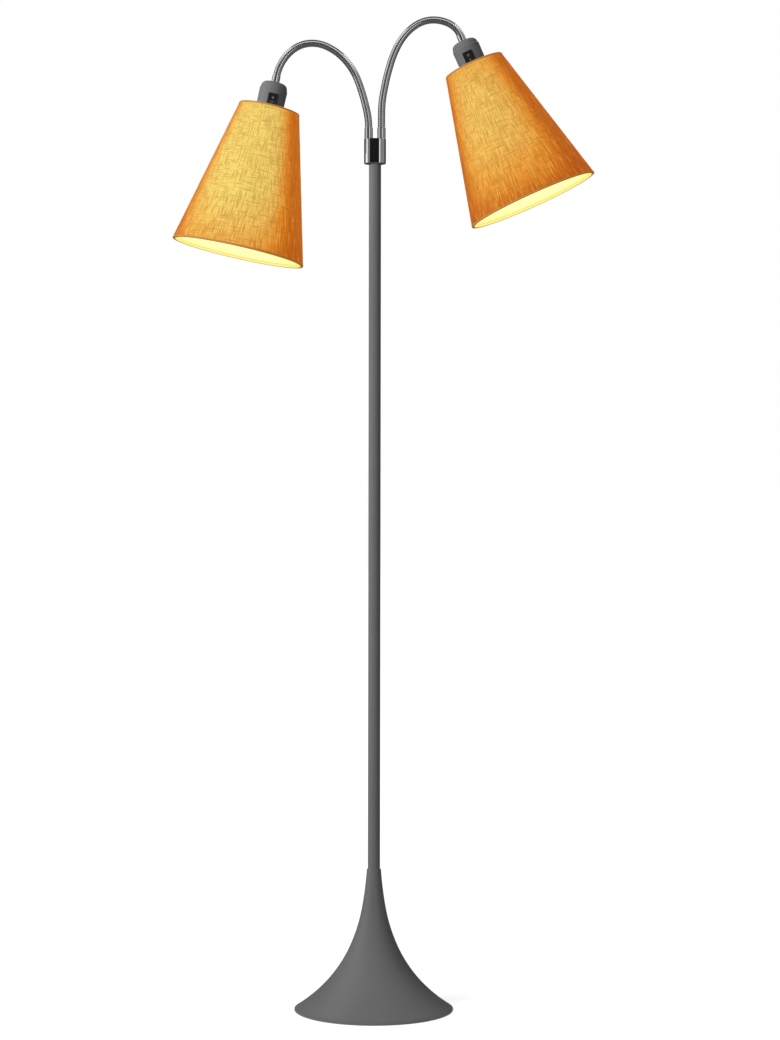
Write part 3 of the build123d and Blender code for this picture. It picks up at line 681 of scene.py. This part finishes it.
def linen_material(settings, name, glow_values):
    """Mustard linen; light comes through between its threads, and its own colour is painted darker where
    little comes through.
    """
    streak_share, seam_share, lit_cloth = 0.32, 0.2, 0.5
    slub_share, weave_share, cloth_slub_share = 0.5, 0.08, 0.55
    material, tree, shader = new_material(name)
    linen = add_group(tree, shared_group("linen_weave", linen_group), Mean_Radius=0.07)
    glow = add_group(tree, shared_group("bulb_glow", glow_group), **glow_values)

    def part(output, share):
        return math_node(tree, "MULTIPLY", linen.outputs[output], share)

    through = math_node(tree, "ADD", glow.outputs["Glow"], part("Streaks", streak_share))
    through = math_node(tree, "SUBTRACT", through, part("Seam", seam_share))
    cloth = tuple(settings.cloth_colour)
    weave = tint(tree, linen.outputs["Weave"], [c * 0.9 for c in cloth], [c * 1.08 for c in cloth])
    threads = tint(tree, part("Slubs", cloth_slub_share), weave, tuple(settings.thread_colour))
    # Painted shade: where little light comes through, the linen's own colour turns to the painted shade
    # colour.
    lit_share = map_range(tree, through, 0.0, lit_cloth)
    tree.links.new(tint(tree, lit_share, tuple(settings.painted_shade_colour), threads), shader.inputs["Base Color"])
    stops = ((0.0, settings.glow_far), (0.4, settings.glow_middle), (1.0, settings.glow_near))
    warm = ramp(tree, through, [(place, tuple(colour)) for place, colour in stops])
    shade = math_node(tree, "ADD", part("Slubs", slub_share), part("Weave", weave_share))
    tree.links.new(tint(tree, shade, warm, tuple(settings.slub_shadow)), shader.inputs["Emission Color"])
    shader.inputs["Emission Strength"].default_value = settings.glow_strength
    shader.inputs["Roughness"].default_value = 0.85
    bump(tree, shader, linen.outputs["Height"], 0.1 * MM)
    return material


def hem_material(settings):
    """Turned linen edge: plain cloth outside, lit by the bulb on the side that faces it."""
    material, tree, shader = new_material("turned_linen_edge")
    linen = add_group(tree, shared_group("linen_weave", linen_group), Mean_Radius=0.07)
    colour = tuple(settings.hem_colour)
    threads = tint(tree, linen.outputs["Weave"], [c * 0.8 for c in colour], [c * 1.15 for c in colour])
    tree.links.new(threads, shader.inputs["Base Color"])
    shader.inputs["Roughness"].default_value = 0.85
    bump(tree, shader, linen.outputs["Height"], 0.08 * MM)
    own = node(tree, "ShaderNodeTexCoord")
    flat = node(tree, "ShaderNodeVectorMath", operation="MULTIPLY")
    flat.inputs[1].default_value = (1.0, 1.0, 0.0)
    outward = node(tree, "ShaderNodeVectorMath", operation="NORMALIZE")
    facing = node(tree, "ShaderNodeVectorMath", operation="DOT_PRODUCT")
    tree.links.new(own.outputs["Object"], flat.inputs[0])
    tree.links.new(flat.outputs[0], outward.inputs[0])
    tree.links.new(outward.outputs[0], facing.inputs[0])
    tree.links.new(own.outputs["Normal"], facing.inputs[1])
    lit = map_range(tree, math_node(tree, "MULTIPLY", facing.outputs["Value"], -1.0), 0.2, 0.8)
    unlit = [c * 0.4 for c in settings.glow_middle]
    tree.links.new(tint(tree, lit, unlit, tuple(settings.hem_lit_colour)), shader.inputs["Emission Color"])
    shader.inputs["Emission Strength"].default_value = 0.95
    return material


def lit_film_material(settings):
    """Smooth film that lines the shade, lit by the bulb."""
    material, tree, shader = new_material("lit_liner_film")
    glow = add_group(tree, shared_group("bulb_glow", glow_group), Peak=2.4)
    far, near = tuple(settings.inside_colour), tuple(settings.inside_near_colour)
    tree.links.new(tint(tree, glow.outputs["Glow"], far, near), shader.inputs["Emission Color"])
    # Painted light: the film's own colour is paler where the glow is strong.
    film = tint(tree, glow.outputs["Glow"], (0.85, 0.68, 0.3), (0.9, 0.8, 0.5))
    tree.links.new(film, shader.inputs["Base Color"])
    shader.inputs["Roughness"].default_value = 0.4
    shader.inputs["Emission Strength"].default_value = settings.inside_strength
    return material


def opal_material():
    """Opal glass of the bulb, lit."""
    material, tree, shader = new_material("opal_bulb_glass")
    cloud = add_group(tree, shared_group("fine_grain", grain_group), Size=6 * MM)
    warm = tint(tree, cloud.outputs["Tone"], (1.0, 0.9, 0.62), (1.0, 0.96, 0.78))
    tree.links.new(warm, shader.inputs["Emission Color"])
    shader.inputs["Base Color"].default_value = (0.9, 0.87, 0.8, 1.0)
    shader.inputs["Roughness"].default_value = 0.2
    shader.inputs["Emission Strength"].default_value = 3.0
    return material


def paper_material(name, tone):
    """Paper of one grey that no light changes."""
    material, _, shader = new_material(name)
    shader.inputs["Base Color"].default_value = (0.0, 0.0, 0.0, 1.0)
    shader.inputs["Specular IOR Level"].default_value = 0.0
    shader.inputs["Emission Color"].default_value = (tone, tone, tone, 1.0)
    shader.inputs["Emission Strength"].default_value = 1.0
    return material


# ---------------------------------------------------------------- pieces


class LAMP_OT_stage(bpy.types.Operator):
    """Makes the camera, the lights, the floor and the backdrop"""

    bl_idname = "lamp.stage"
    bl_label = "Build the studio"

    def execute(self, context):
        settings = context.scene.lamp_studio
        self.add_camera(context, settings)
        self.add_sky(context, settings)
        self.add_floor(settings)
        self.add_lights(context, settings)
        self.add_cards()
        context.scene.view_settings.view_transform = "Standard"
        return {"FINISHED"}

    def add_camera(self, context, settings):
        """Level camera in front of the lamp, turned a little about its line of sight."""
        data = bpy.data.cameras.new("front_camera")
        data.lens = settings.lens
        camera = bpy.data.objects.new("front_camera", data)
        context.scene.collection.objects.link(camera)
        level = Matrix.Rotation(math.radians(90), 4, "X") @ Matrix.Rotation(settings.camera_roll, 4, "Z")
        camera.matrix_world = Matrix.Translation(settings.camera_place) @ level
        context.scene.camera = camera

    def add_sky(self, context, settings):
        """White all round for the eye and for shiny metal, and a softer level as light."""
        world = context.scene.world or bpy.data.worlds.new("studio")
        context.scene.world = world
        world.use_nodes = True
        tree = world.node_tree
        background = tree.nodes["Background"]
        background.inputs["Color"].default_value = (1.0, 1.0, 1.0, 1.0)
        path = node(tree, "ShaderNodeLightPath")
        seen = math_node(tree, "MAXIMUM", path.outputs["Is Camera Ray"], path.outputs["Is Glossy Ray"])
        seen = math_node(tree, "MAXIMUM", seen, path.outputs["Is Transmission Ray"])
        level = map_range(tree, seen, 0.0, 1.0, settings.sky_strength, 1.0)
        tree.links.new(level, background.inputs["Strength"])

    def add_floor(self, settings):
        """A wide pale floor that keeps the lamp's soft shadow and fades into the backdrop."""
        half, fade_start, fade_end, near_level = 30.0, 0.6, 3.0, 0.76
        corners = [Vector((x * half, y * half, 0)) for x, y in SQUARE]
        floor = add_object("floor", self.sheet_mesh("floor", corners))
        material, tree, shader = new_material("pale_floor")
        tone = settings.floor_tone
        shader.inputs["Base Color"].default_value = (tone, tone, tone, 1.0)
        shader.inputs["Roughness"].default_value = 0.9
        shader.inputs["Specular IOR Level"].default_value = 0.0
        path = node(tree, "ShaderNodeLightPath")
        seen = math_node(tree, "MAXIMUM", path.outputs["Is Camera Ray"], path.outputs["Is Glossy Ray"])
        distance = node(tree, "ShaderNodeVectorMath", operation="LENGTH")
        tree.links.new(node(tree, "ShaderNodeTexCoord").outputs["Object"], distance.inputs[0])
        level = map_range(tree, distance.outputs["Value"], fade_start, fade_end, near_level, 1.0)
        shader.inputs["Emission Color"].default_value = (1.0, 1.0, 1.0, 1.0)
        tree.links.new(math_node(tree, "MULTIPLY", seen, level), shader.inputs["Emission Strength"])
        dress(floor, material)

    def add_lights(self, context, settings):
        """A large soft light on the left in front, and a weak one on the right."""
        places = (
            ("key_light", (-1.85, -1.3, 2.1), 1.1, settings.key_power),
            ("fill_light", (2.6, -1.6, 1.3), 1.6, settings.fill_power),
        )
        aim = Vector((0, 0, 0.85))
        for name, place, width, power in places:
            data = bpy.data.lights.new(name, "AREA")
            data.shape = "RECTANGLE"
            data.size = width
            data.size_y = width * 1.3
            data.energy = power
            light = bpy.data.objects.new(name, data)
            context.scene.collection.objects.link(light)
            light.location = place
            light.rotation_euler = (aim - Vector(place)).to_track_quat("-Z", "Y").to_euler()
            light.visible_camera = False
            light.visible_glossy = False

    def add_cards(self):
        """Dark and grey cards that only shiny metal sees, as a studio has, for the metal's stripes."""
        reach, height, low_height = 5.0, 4.4, 5 * MM
        upright = (
            ("card_left", -62, -27, 0.24),
            ("card_front", -27, 11, 0.012),
            ("card_right", 26, 104, 0.25),
            ("card_back_right", 104, 180, 0.035),
            ("card_back_left", 180, 256, 0.035),
        )
        for name, start, end, tone in upright:
            angles = [math.radians(degrees) for degrees in (start, end)]
            foot = [Vector((math.sin(angle), -math.cos(angle), 0)) * reach for angle in angles]
            top = [point + Vector((0, 0, height)) for point in reversed(foot)]
            self.add_card(name, [*foot, *top], tone)
        level_cards = (("card_top", 2.0, height, 0.05), ("card_low", reach, low_height, 0.11))
        for name, half, level, tone in level_cards:
            self.add_card(name, [Vector((x * half, y * half, level)) for x, y in SQUARE], tone)

    def add_card(self, name, corners, tone):
        """One card of a grey tone."""
        card = add_object(name, self.sheet_mesh(name, corners))
        for flag in ("visible_camera", "visible_diffuse", "visible_shadow", "visible_transmission"):
            setattr(card, flag, False)
        dress(card, paper_material(f"{name}_paper", tone))

    def sheet_mesh(self, name, corners):
        """One flat face."""
        return mesh_from(name, lambda shape: shape.faces.new([shape.verts.new(corner) for corner in corners]))


class LAMP_OT_painted_metal(bpy.types.Operator):
    """Coats the base, the pole and the lampholder covers in fine-grained grey"""

    bl_idname = "lamp.painted_metal"
    bl_label = "Coat the metal"

    def execute(self, context):
        settings = context.scene.lamp_paint
        surface = (settings.roughness, settings.grain_size, 0.02 * MM)
        coat = grainy_material("grey_coat", tuple(settings.coat_colour), *surface, spread=0.04)
        cover = grainy_material("cover_coat", tuple(settings.cover_colour), *surface, spread=0.04)
        for name in ("base_shell", "pole"):
            dress(NODES[name], coat)
        for side in OUTWARD:
            dress(NODES[f"{side}_holder_cover"], cover)
        return {"FINISHED"}


class LAMP_OT_bright_metal(bpy.types.Operator):
    """Polishes the collar, the ferrules and the sleeves"""

    bl_idname = "lamp.bright_metal"
    bl_label = "Polish the bright metal"

    def execute(self, context):
        chrome = chrome_material(context.scene.lamp_chrome)
        names = ["arm_collar"]
        for side in OUTWARD:
            names += [f"{side}_arm_ferrule", f"{side}_end_ferrule"]
        for name in names:
            dress(NODES[name], chrome)
        return {"FINISHED"}


class LAMP_OT_hoses(bpy.types.Operator):
    """Winds the ribbed goosenecks, each in four lengths"""

    bl_idname = "lamp.hoses"
    bl_label = "Wind the goosenecks"

    def execute(self, context):
        settings = context.scene.lamp_hose
        chrome = chrome_material(context.scene.lamp_chrome, "wound_chrome", shaded_grooves=True)
        replaced = ((1,), (2,), (3,), (4, 5))
        foot_overlap, head_overlap = 6 * MM, 4 * MM
        for side in OUTWARD:
            line = ArmLine(side)
            for index, spans in enumerate(replaced):
                middle = (index + 0.5) * SPAN_LENGTH
                start = middle if index else -foot_overlap
                end = middle + SPAN_LENGTH if index < len(replaced) - 1 else line.length + head_overlap
                mesh = self.winding(settings, line, start, end)
                piece = add_object(f"{side}_gooseneck_{index + 1}", mesh)
                dress(piece, chrome)
                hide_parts(*(f"{side}_hose_{span}" for span in spans))
                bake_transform(piece)
        return {"FINISHED"}

    def winding(self, settings, line, start, end):
        """One length of the wound hose: a strip whose rows climb one pitch in each turn."""
        pitch = SPAN_LENGTH / settings.turns_per_span
        rows_per_turn, sides = settings.rows_per_turn, settings.sides
        step = pitch / rows_per_turn
        first, last = round(start / step), round(end / step)

        def build(shape):
            # The groove layer holds each row's place across the pitch; the chrome paints shade in the grooves
            # from it.
            groove = shape.verts.layers.float.new("groove")
            grid = []
            for row in range(first, last + 1):
                across = abs(2 * (row % rows_per_turn) / rows_per_turn - 1)
                bead = 1 - across**settings.flatness
                radius = settings.crest_radius - settings.groove_depth * (1 - bead)
                points = []
                for side in range(sides + 1):
                    share = side / sides
                    centre, heading = line.at((row + share * rows_per_turn) * step)
                    inward = Vector((math.cos(heading), 0, -line.outward * math.sin(heading)))
                    angle = math.tau * share
                    offset = inward * math.cos(angle) + Vector((0, 1, 0)) * math.sin(angle)
                    point = shape.verts.new(centre + offset * radius)
                    point[groove] = across
                    points.append(point)
                grid.append(points)
            for lower, upper in zip(grid, grid[1:]):
                for side in range(sides):
                    shape.faces.new((lower[side], lower[side + 1], upper[side + 1], upper[side]))
            bmesh.ops.remove_doubles(shape, verts=shape.verts, dist=1e-6)

        return mesh_from("gooseneck", build)


class LAMP_OT_shades(bpy.types.Operator):
    """Makes the linen cones with their turned edges and seam, and lights their lining"""

    bl_idname = "lamp.shades"
    bl_label = "Cover the shades"

    def execute(self, context):
        settings = context.scene.lamp_shade
        # Painted light: Turn swings each hot spot towards the left, where the key light stands, and Peak
        # gives the right shade a weaker glow than the left.
        left_glow = {"Turn": -0.32, "Peak": 1.14, "Fade": 182 * MM}
        right_glow = {"Turn": -0.12, "Peak": 0.74, "Fade": 150 * MM}
        glowing = {
            "left": linen_material(settings, "glowing_linen_left", left_glow),
            "right": linen_material(settings, "glowing_linen_right", right_glow),
        }
        turned = hem_material(settings)
        film = lit_film_material(settings)
        edges = {"top": (SHADE_TOP_DEPTH, 1), "bottom": (SHADE_TOP_DEPTH + SHADE_HEIGHT, -1)}
        for side in OUTWARD:
            cloth = self.add_piece(side, "shade_linen", self.cone(settings), glowing[side], "shade_linen")
            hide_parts(f"{side}_shade_cover")
            lining = self.add_piece(side, "shade_lining", self.lining(), film, "shade_film")
            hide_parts(f"{side}_shade_liner")
            hems = [
                self.add_piece(side, f"shade_hem_{edge}", self.hem(settings, *place), turned, "shade_linen")
                for edge, place in edges.items()
            ]
            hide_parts(f"{side}_shade_bottom_ring")
            self.declare(side, cloth, hems)
        return {"FINISHED"}

    def add_piece(self, side, name, mesh, material, slot):
        """One piece of a shade, which rides the head."""
        piece = add_object(f"{side}_{name}", mesh, head_matrix(side))
        dress(piece, material)
        keep_glow_off(piece)
        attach(piece, f"{side}_head")
        return piece

    def cone(self, settings):
        """The linen: outer and inner skin, with the seam's overlap at the back and faint slubs."""
        segments, rows = 160, 44
        ripple_height, seam_height = 0.05 * MM, 0.35 * MM
        rng = random.Random(11)
        slub_ripple = [[rng.gauss(0, ripple_height) for _ in range(segments)] for _ in range(rows + 1)]
        seam_angle = settings.seam_width / SHADE_BOTTOM_RADIUS

        def skin(shape, inset, ripple):
            rings = []
            for row in range(rows + 1):
                depth = SHADE_TOP_DEPTH + SHADE_HEIGHT * row / rows
                ring = []
                for step in range(segments):
                    angle = math.tau * step / segments - math.pi / 2
                    from_back = abs((angle - math.pi / 2 + math.pi) % math.tau - math.pi)
                    overlap = seam_height if from_back < seam_angle / 2 else 0.0
                    radius = shade_radius(depth) - inset + ripple * (overlap + slub_ripple[row][step])
                    ring.append(shape.verts.new((radius * math.cos(angle), radius * math.sin(angle), -depth)))
                rings.append(ring)
            return rings

        def build(shape):
            outer = skin(shape, 0.0, 1)
            inner = skin(shape, settings.cloth_thickness / math.cos(SHADE_SLOPE), 0)
            join_rings(shape, [*outer, *reversed(inner), outer[0]])

        return mesh_from("shade_linen", build)

    def lining(self):
        """The stiff film inside the linen."""
        outer_inset, inner_inset, segments = 0.8 * MM, 1.25 * MM, 160
        profile = []
        for inset, order in ((outer_inset, (0, 1)), (inner_inset, (1, 0))):
            for share in order:
                depth = SHADE_TOP_DEPTH + SHADE_HEIGHT * share
                profile.append((shade_radius(depth) - inset, -depth))
        return mesh_from("shade_lining", lambda shape: add_lathe(shape, profile, segments))

    def hem(self, settings, depth, way):
        """The linen turned round the wire: a rounded roll over the edge. way is 1 at the top edge."""
        outside, inside, segments = 0.28 * MM, RING_INSET + 2.1 * MM, 160
        height = settings.hem_height
        section = (
            (outside, 1.0), (outside, 0.25), (-0.2 * MM, -0.12), (-RING_INSET * 0.5, -0.24),
            (-RING_INSET, -0.26), (-inside + 0.5 * MM, -0.1), (-inside, 0.45), (-inside + 0.2 * MM, 1.1),
            (-RING_INSET, 1.75), (-1.2 * MM, 1.7), (-0.25 * MM, 1.1),
        )
        profile = []
        for reach, share in section:
            at = depth + way * share * height
            profile.append((shade_radius(at) + reach, -at))
        return mesh_from("hem", lambda shape: add_lathe(shape, profile, segments))

    def declare(self, side, cloth, hems):
        """Does nothing with the linen and its edges."""


class LAMP_OT_shade_wires(bpy.types.Operator):
    """Bends the shades' round spokes and their fitter ring"""

    bl_idname = "lamp.shade_wires"
    bl_label = "Bend the shade wires"

    def execute(self, context):
        enamel = finish("white_enamel")
        for side in OUTWARD:
            spider = add_object(f"{side}_shade_spider", mesh_from("spider", self.spider), head_matrix(side))
            dress(spider, enamel)
            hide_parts(f"{side}_shade_frame")
            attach(spider, f"{side}_head")
        return {"FINISHED"}

    def spider(self, shape):
        """A flat ring with rounded edges, three spokes up to the top wire, and that wire."""
        inner, outer, thickness = 18.4 * MM, 26.0 * MM, 1.5 * MM
        wire, spokes, spoke_radius, top_inset = 1.6 * MM, 3, 1.45 * MM, 0.4 * MM
        foot_inset, foot_lift, knee_reach, knee_lift = 4.5 * MM, 0.6 * MM, 0.5 * MM, 1.2 * MM
        edge = thickness * 0.3
        section = [
            (inner, -edge), (inner + edge, 0), (outer - edge, 0), (outer, -edge),
            (outer, edge - thickness), (outer - edge, -thickness),
            (inner + edge, -thickness), (inner, edge - thickness),
        ]
        add_lathe(shape, [(radius, height - FITTER_DEPTH) for radius, height in section], 72)
        ring_depth = SHADE_TOP_DEPTH + wire
        ring_radius = shade_radius(ring_depth) - RING_INSET
        turns = [math.tau * step / 12 for step in range(12)]
        circle = [(ring_radius + wire * math.cos(turn), wire * math.sin(turn) - ring_depth) for turn in turns]
        add_lathe(shape, circle, 96)
        for spoke in range(spokes):
            angle = math.tau * (spoke + 0.5) / spokes
            out = Vector((math.cos(angle), -math.sin(angle), 0))
            low = out * (outer - foot_inset) + Vector((0, 0, foot_lift - FITTER_DEPTH))
            knee = out * (outer + knee_reach) + Vector((0, 0, knee_lift - FITTER_DEPTH))
            high = out * (ring_radius - top_inset) + Vector((0, 0, -ring_depth))
            points = [low, low.lerp(knee, 0.6), knee, knee.lerp(high, 0.15), knee.lerp(high, 0.85), high]
            add_tube(shape, points, spoke_radius, 12)


class LAMP_OT_switches(bpy.types.Operator):
    """Finishes the rocker switches and prints their on and off marks"""

    bl_idname = "lamp.switches"
    bl_label = "Finish the switches"

    def execute(self, context):
        settings = context.scene.lamp_switch
        housing, rocker = finish("black_moulding"), finish("black_rocker")
        ink = grainy_material("mark_ink", tuple(settings.mark_colour), 0.5, 0.3 * MM, 0.005 * MM, spread=0.03)
        marks = (("off", self.off_mark, -4.6 * MM), ("on", self.on_mark, 2.4 * MM))
        for side in OUTWARD:
            dress(NODES[f"{side}_switch_body"], housing)
            dress(NODES[f"{side}_switch_rocker"], rocker)
            joint = next(j for j in frame["joints"] if j["name"] == f"{side}_switch")
            frame_of_face = self.face_frame(side, joint)
            for name, build, place in marks:
                mesh = mesh_from(f"mark_{name}", lambda shape, build=build: build(shape, settings))
                mark = add_object(f"{side}_mark_{name}", mesh, frame_of_face(place))
                dress(mark, ink)
                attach(mark, f"{side}_rocker")
        return {"FINISHED"}

    def face_frame(self, side, joint):
        """A function that gives the frame on the rocker's face at a distance below its middle."""
        axes = head_matrix(side).to_3x3()
        across, back, up = axes.col
        pivot = Vector(joint["pos_m"])
        tilt = math.radians(10.0)
        outward = -back * math.cos(tilt) - up * math.sin(tilt)
        lower = across.cross(outward)
        face, dip, reach = 4.6 * MM, 0.9 * MM, 7.15 * MM

        def at(distance):
            slope = math.atan2(dip, reach) * (1 if distance > 0 else -1)
            depth = face - dip * (1 - abs(distance) / reach)
            normal = outward * math.cos(slope) - lower * math.sin(slope)
            along = across.cross(normal)
            place = Matrix((across, -along, normal)).transposed().to_4x4()
            place.translation = pivot + outward * depth + lower * distance
            return place

        return at

    def off_mark(self, shape, settings):
        """A ring."""
        outer = settings.mark_height * 0.5
        inner = outer - settings.mark_stroke
        thick = 0.06 * MM
        add_lathe(shape, [(inner, -thick), (outer, -thick), (outer, thick), (inner, thick)], 40)

    def on_mark(self, shape, settings):
        """A short bar."""
        thick = 0.06 * MM
        half = Vector((settings.mark_stroke * 0.6, settings.mark_height * 0.5, thick))
        bmesh.ops.create_cube(shape, size=2.0, matrix=Matrix.Diagonal((*half, 1.0)))


class LAMP_OT_bulbs(bpy.types.Operator):
    """Lights the bulbs and finishes the lampholders"""

    bl_idname = "lamp.bulbs"
    bl_label = "Light the bulbs"

    def execute(self, context):
        opal = opal_material()
        cap, moulding, brass = (finish(name) for name in ("cap_metal", "holder_moulding", "contact_brass"))
        looks = (
            ("bulb_glass", opal, "opal_glass"),
            ("bulb_cap", cap, "cap_metal"),
            ("socket_body", moulding, "moulded_holder"),
            ("shade_ring", moulding, "moulded_holder"),
            ("screw_shell", brass, "contact_brass"),
            ("centre_contact", brass, "contact_brass"),
            ("switch_blades", brass, "contact_brass"),
        )
        for side in OUTWARD:
            for name, material, slot in looks:
                dress(NODES[f"{side}_{name}"], material)
            keep_glow_off(NODES[f"{side}_bulb_glass"])
        return {"FINISHED"}


class LAMP_OT_inner_parts(bpy.types.Operator):
    """Finishes the weight, the fixings and the parts under the base"""

    bl_idname = "lamp.inner_parts"
    bl_label = "Finish the inner parts"

    def execute(self, context):
        fixings = ["base_plate", "tie_washer", "tie_nut", "tie_tube", "pole_plug", "collar_screws"]
        fixings += [f"{side}_holder_nut" for side in OUTWARD]
        groups = (
            ("plain_steel", "plain_steel", fixings),
            ("cast_iron", "cast_weight", ["base_weight"]),
            ("felt", "felt", ["foot_pad"]),
            ("black_sleeve", "black_plastic", ["cord_bush", "pole_flex", "wire_splices"]),
        )
        for look, slot, names in groups:
            material = finish(look)
            for name in names:
                dress(NODES[name], material)
        return {"FINISHED"}


class LAMP_PT_panel(bpy.types.Panel):
    """Lists the lamp's pieces and settings"""

    bl_idname = "LAMP_PT_panel"
    bl_label = "Gooseneck lamp"
    bl_space_type = "VIEW_3D"
    bl_region_type = "UI"
    bl_category = "Lamp"

    def draw(self, context):
        for operator in OPERATORS:
            self.layout.operator(operator.bl_idname)
        for name, group in SETTINGS.items():
            box = self.layout.box()
            box.label(text=group.__doc__)
            settings = getattr(context.scene, name)
            for field in group.__annotations__:
                box.prop(settings, field)


SETTINGS = {
    "lamp_studio": LampStudioSettings,
    "lamp_paint": LampPaintSettings,
    "lamp_chrome": LampChromeSettings,
    "lamp_hose": LampHoseSettings,
    "lamp_shade": LampShadeSettings,
    "lamp_switch": LampSwitchSettings,
}
OPERATORS = (
    LAMP_OT_stage,
    LAMP_OT_painted_metal,
    LAMP_OT_bright_metal,
    LAMP_OT_hoses,
    LAMP_OT_shades,
    LAMP_OT_shade_wires,
    LAMP_OT_switches,
    LAMP_OT_bulbs,
    LAMP_OT_inner_parts,
)


def register():
    """Registers the settings, the operators and the panel."""
    for name, group in SETTINGS.items():
        bpy.utils.register_class(group)
        setattr(bpy.types.Scene, name, PointerProperty(type=group))
    for operator in OPERATORS:
        bpy.utils.register_class(operator)
    bpy.utils.register_class(LAMP_PT_panel)


def unregister():
    """Takes them off again."""
    bpy.utils.unregister_class(LAMP_PT_panel)
    for operator in reversed(OPERATORS):
        bpy.utils.unregister_class(operator)
    for name, group in SETTINGS.items():
        delattr(bpy.types.Scene, name)
        bpy.utils.unregister_class(group)


def main():
    """Builds the whole lamp."""
    register()
    bpy.ops.lamp.stage()
    bpy.ops.lamp.painted_metal()
    bpy.ops.lamp.bright_metal()
    bpy.ops.lamp.hoses()
    bpy.ops.lamp.shades()
    bpy.ops.lamp.shade_wires()
    bpy.ops.lamp.switches()
    bpy.ops.lamp.bulbs()
    bpy.ops.lamp.inner_parts()


if __name__ == "__main__":
    main()
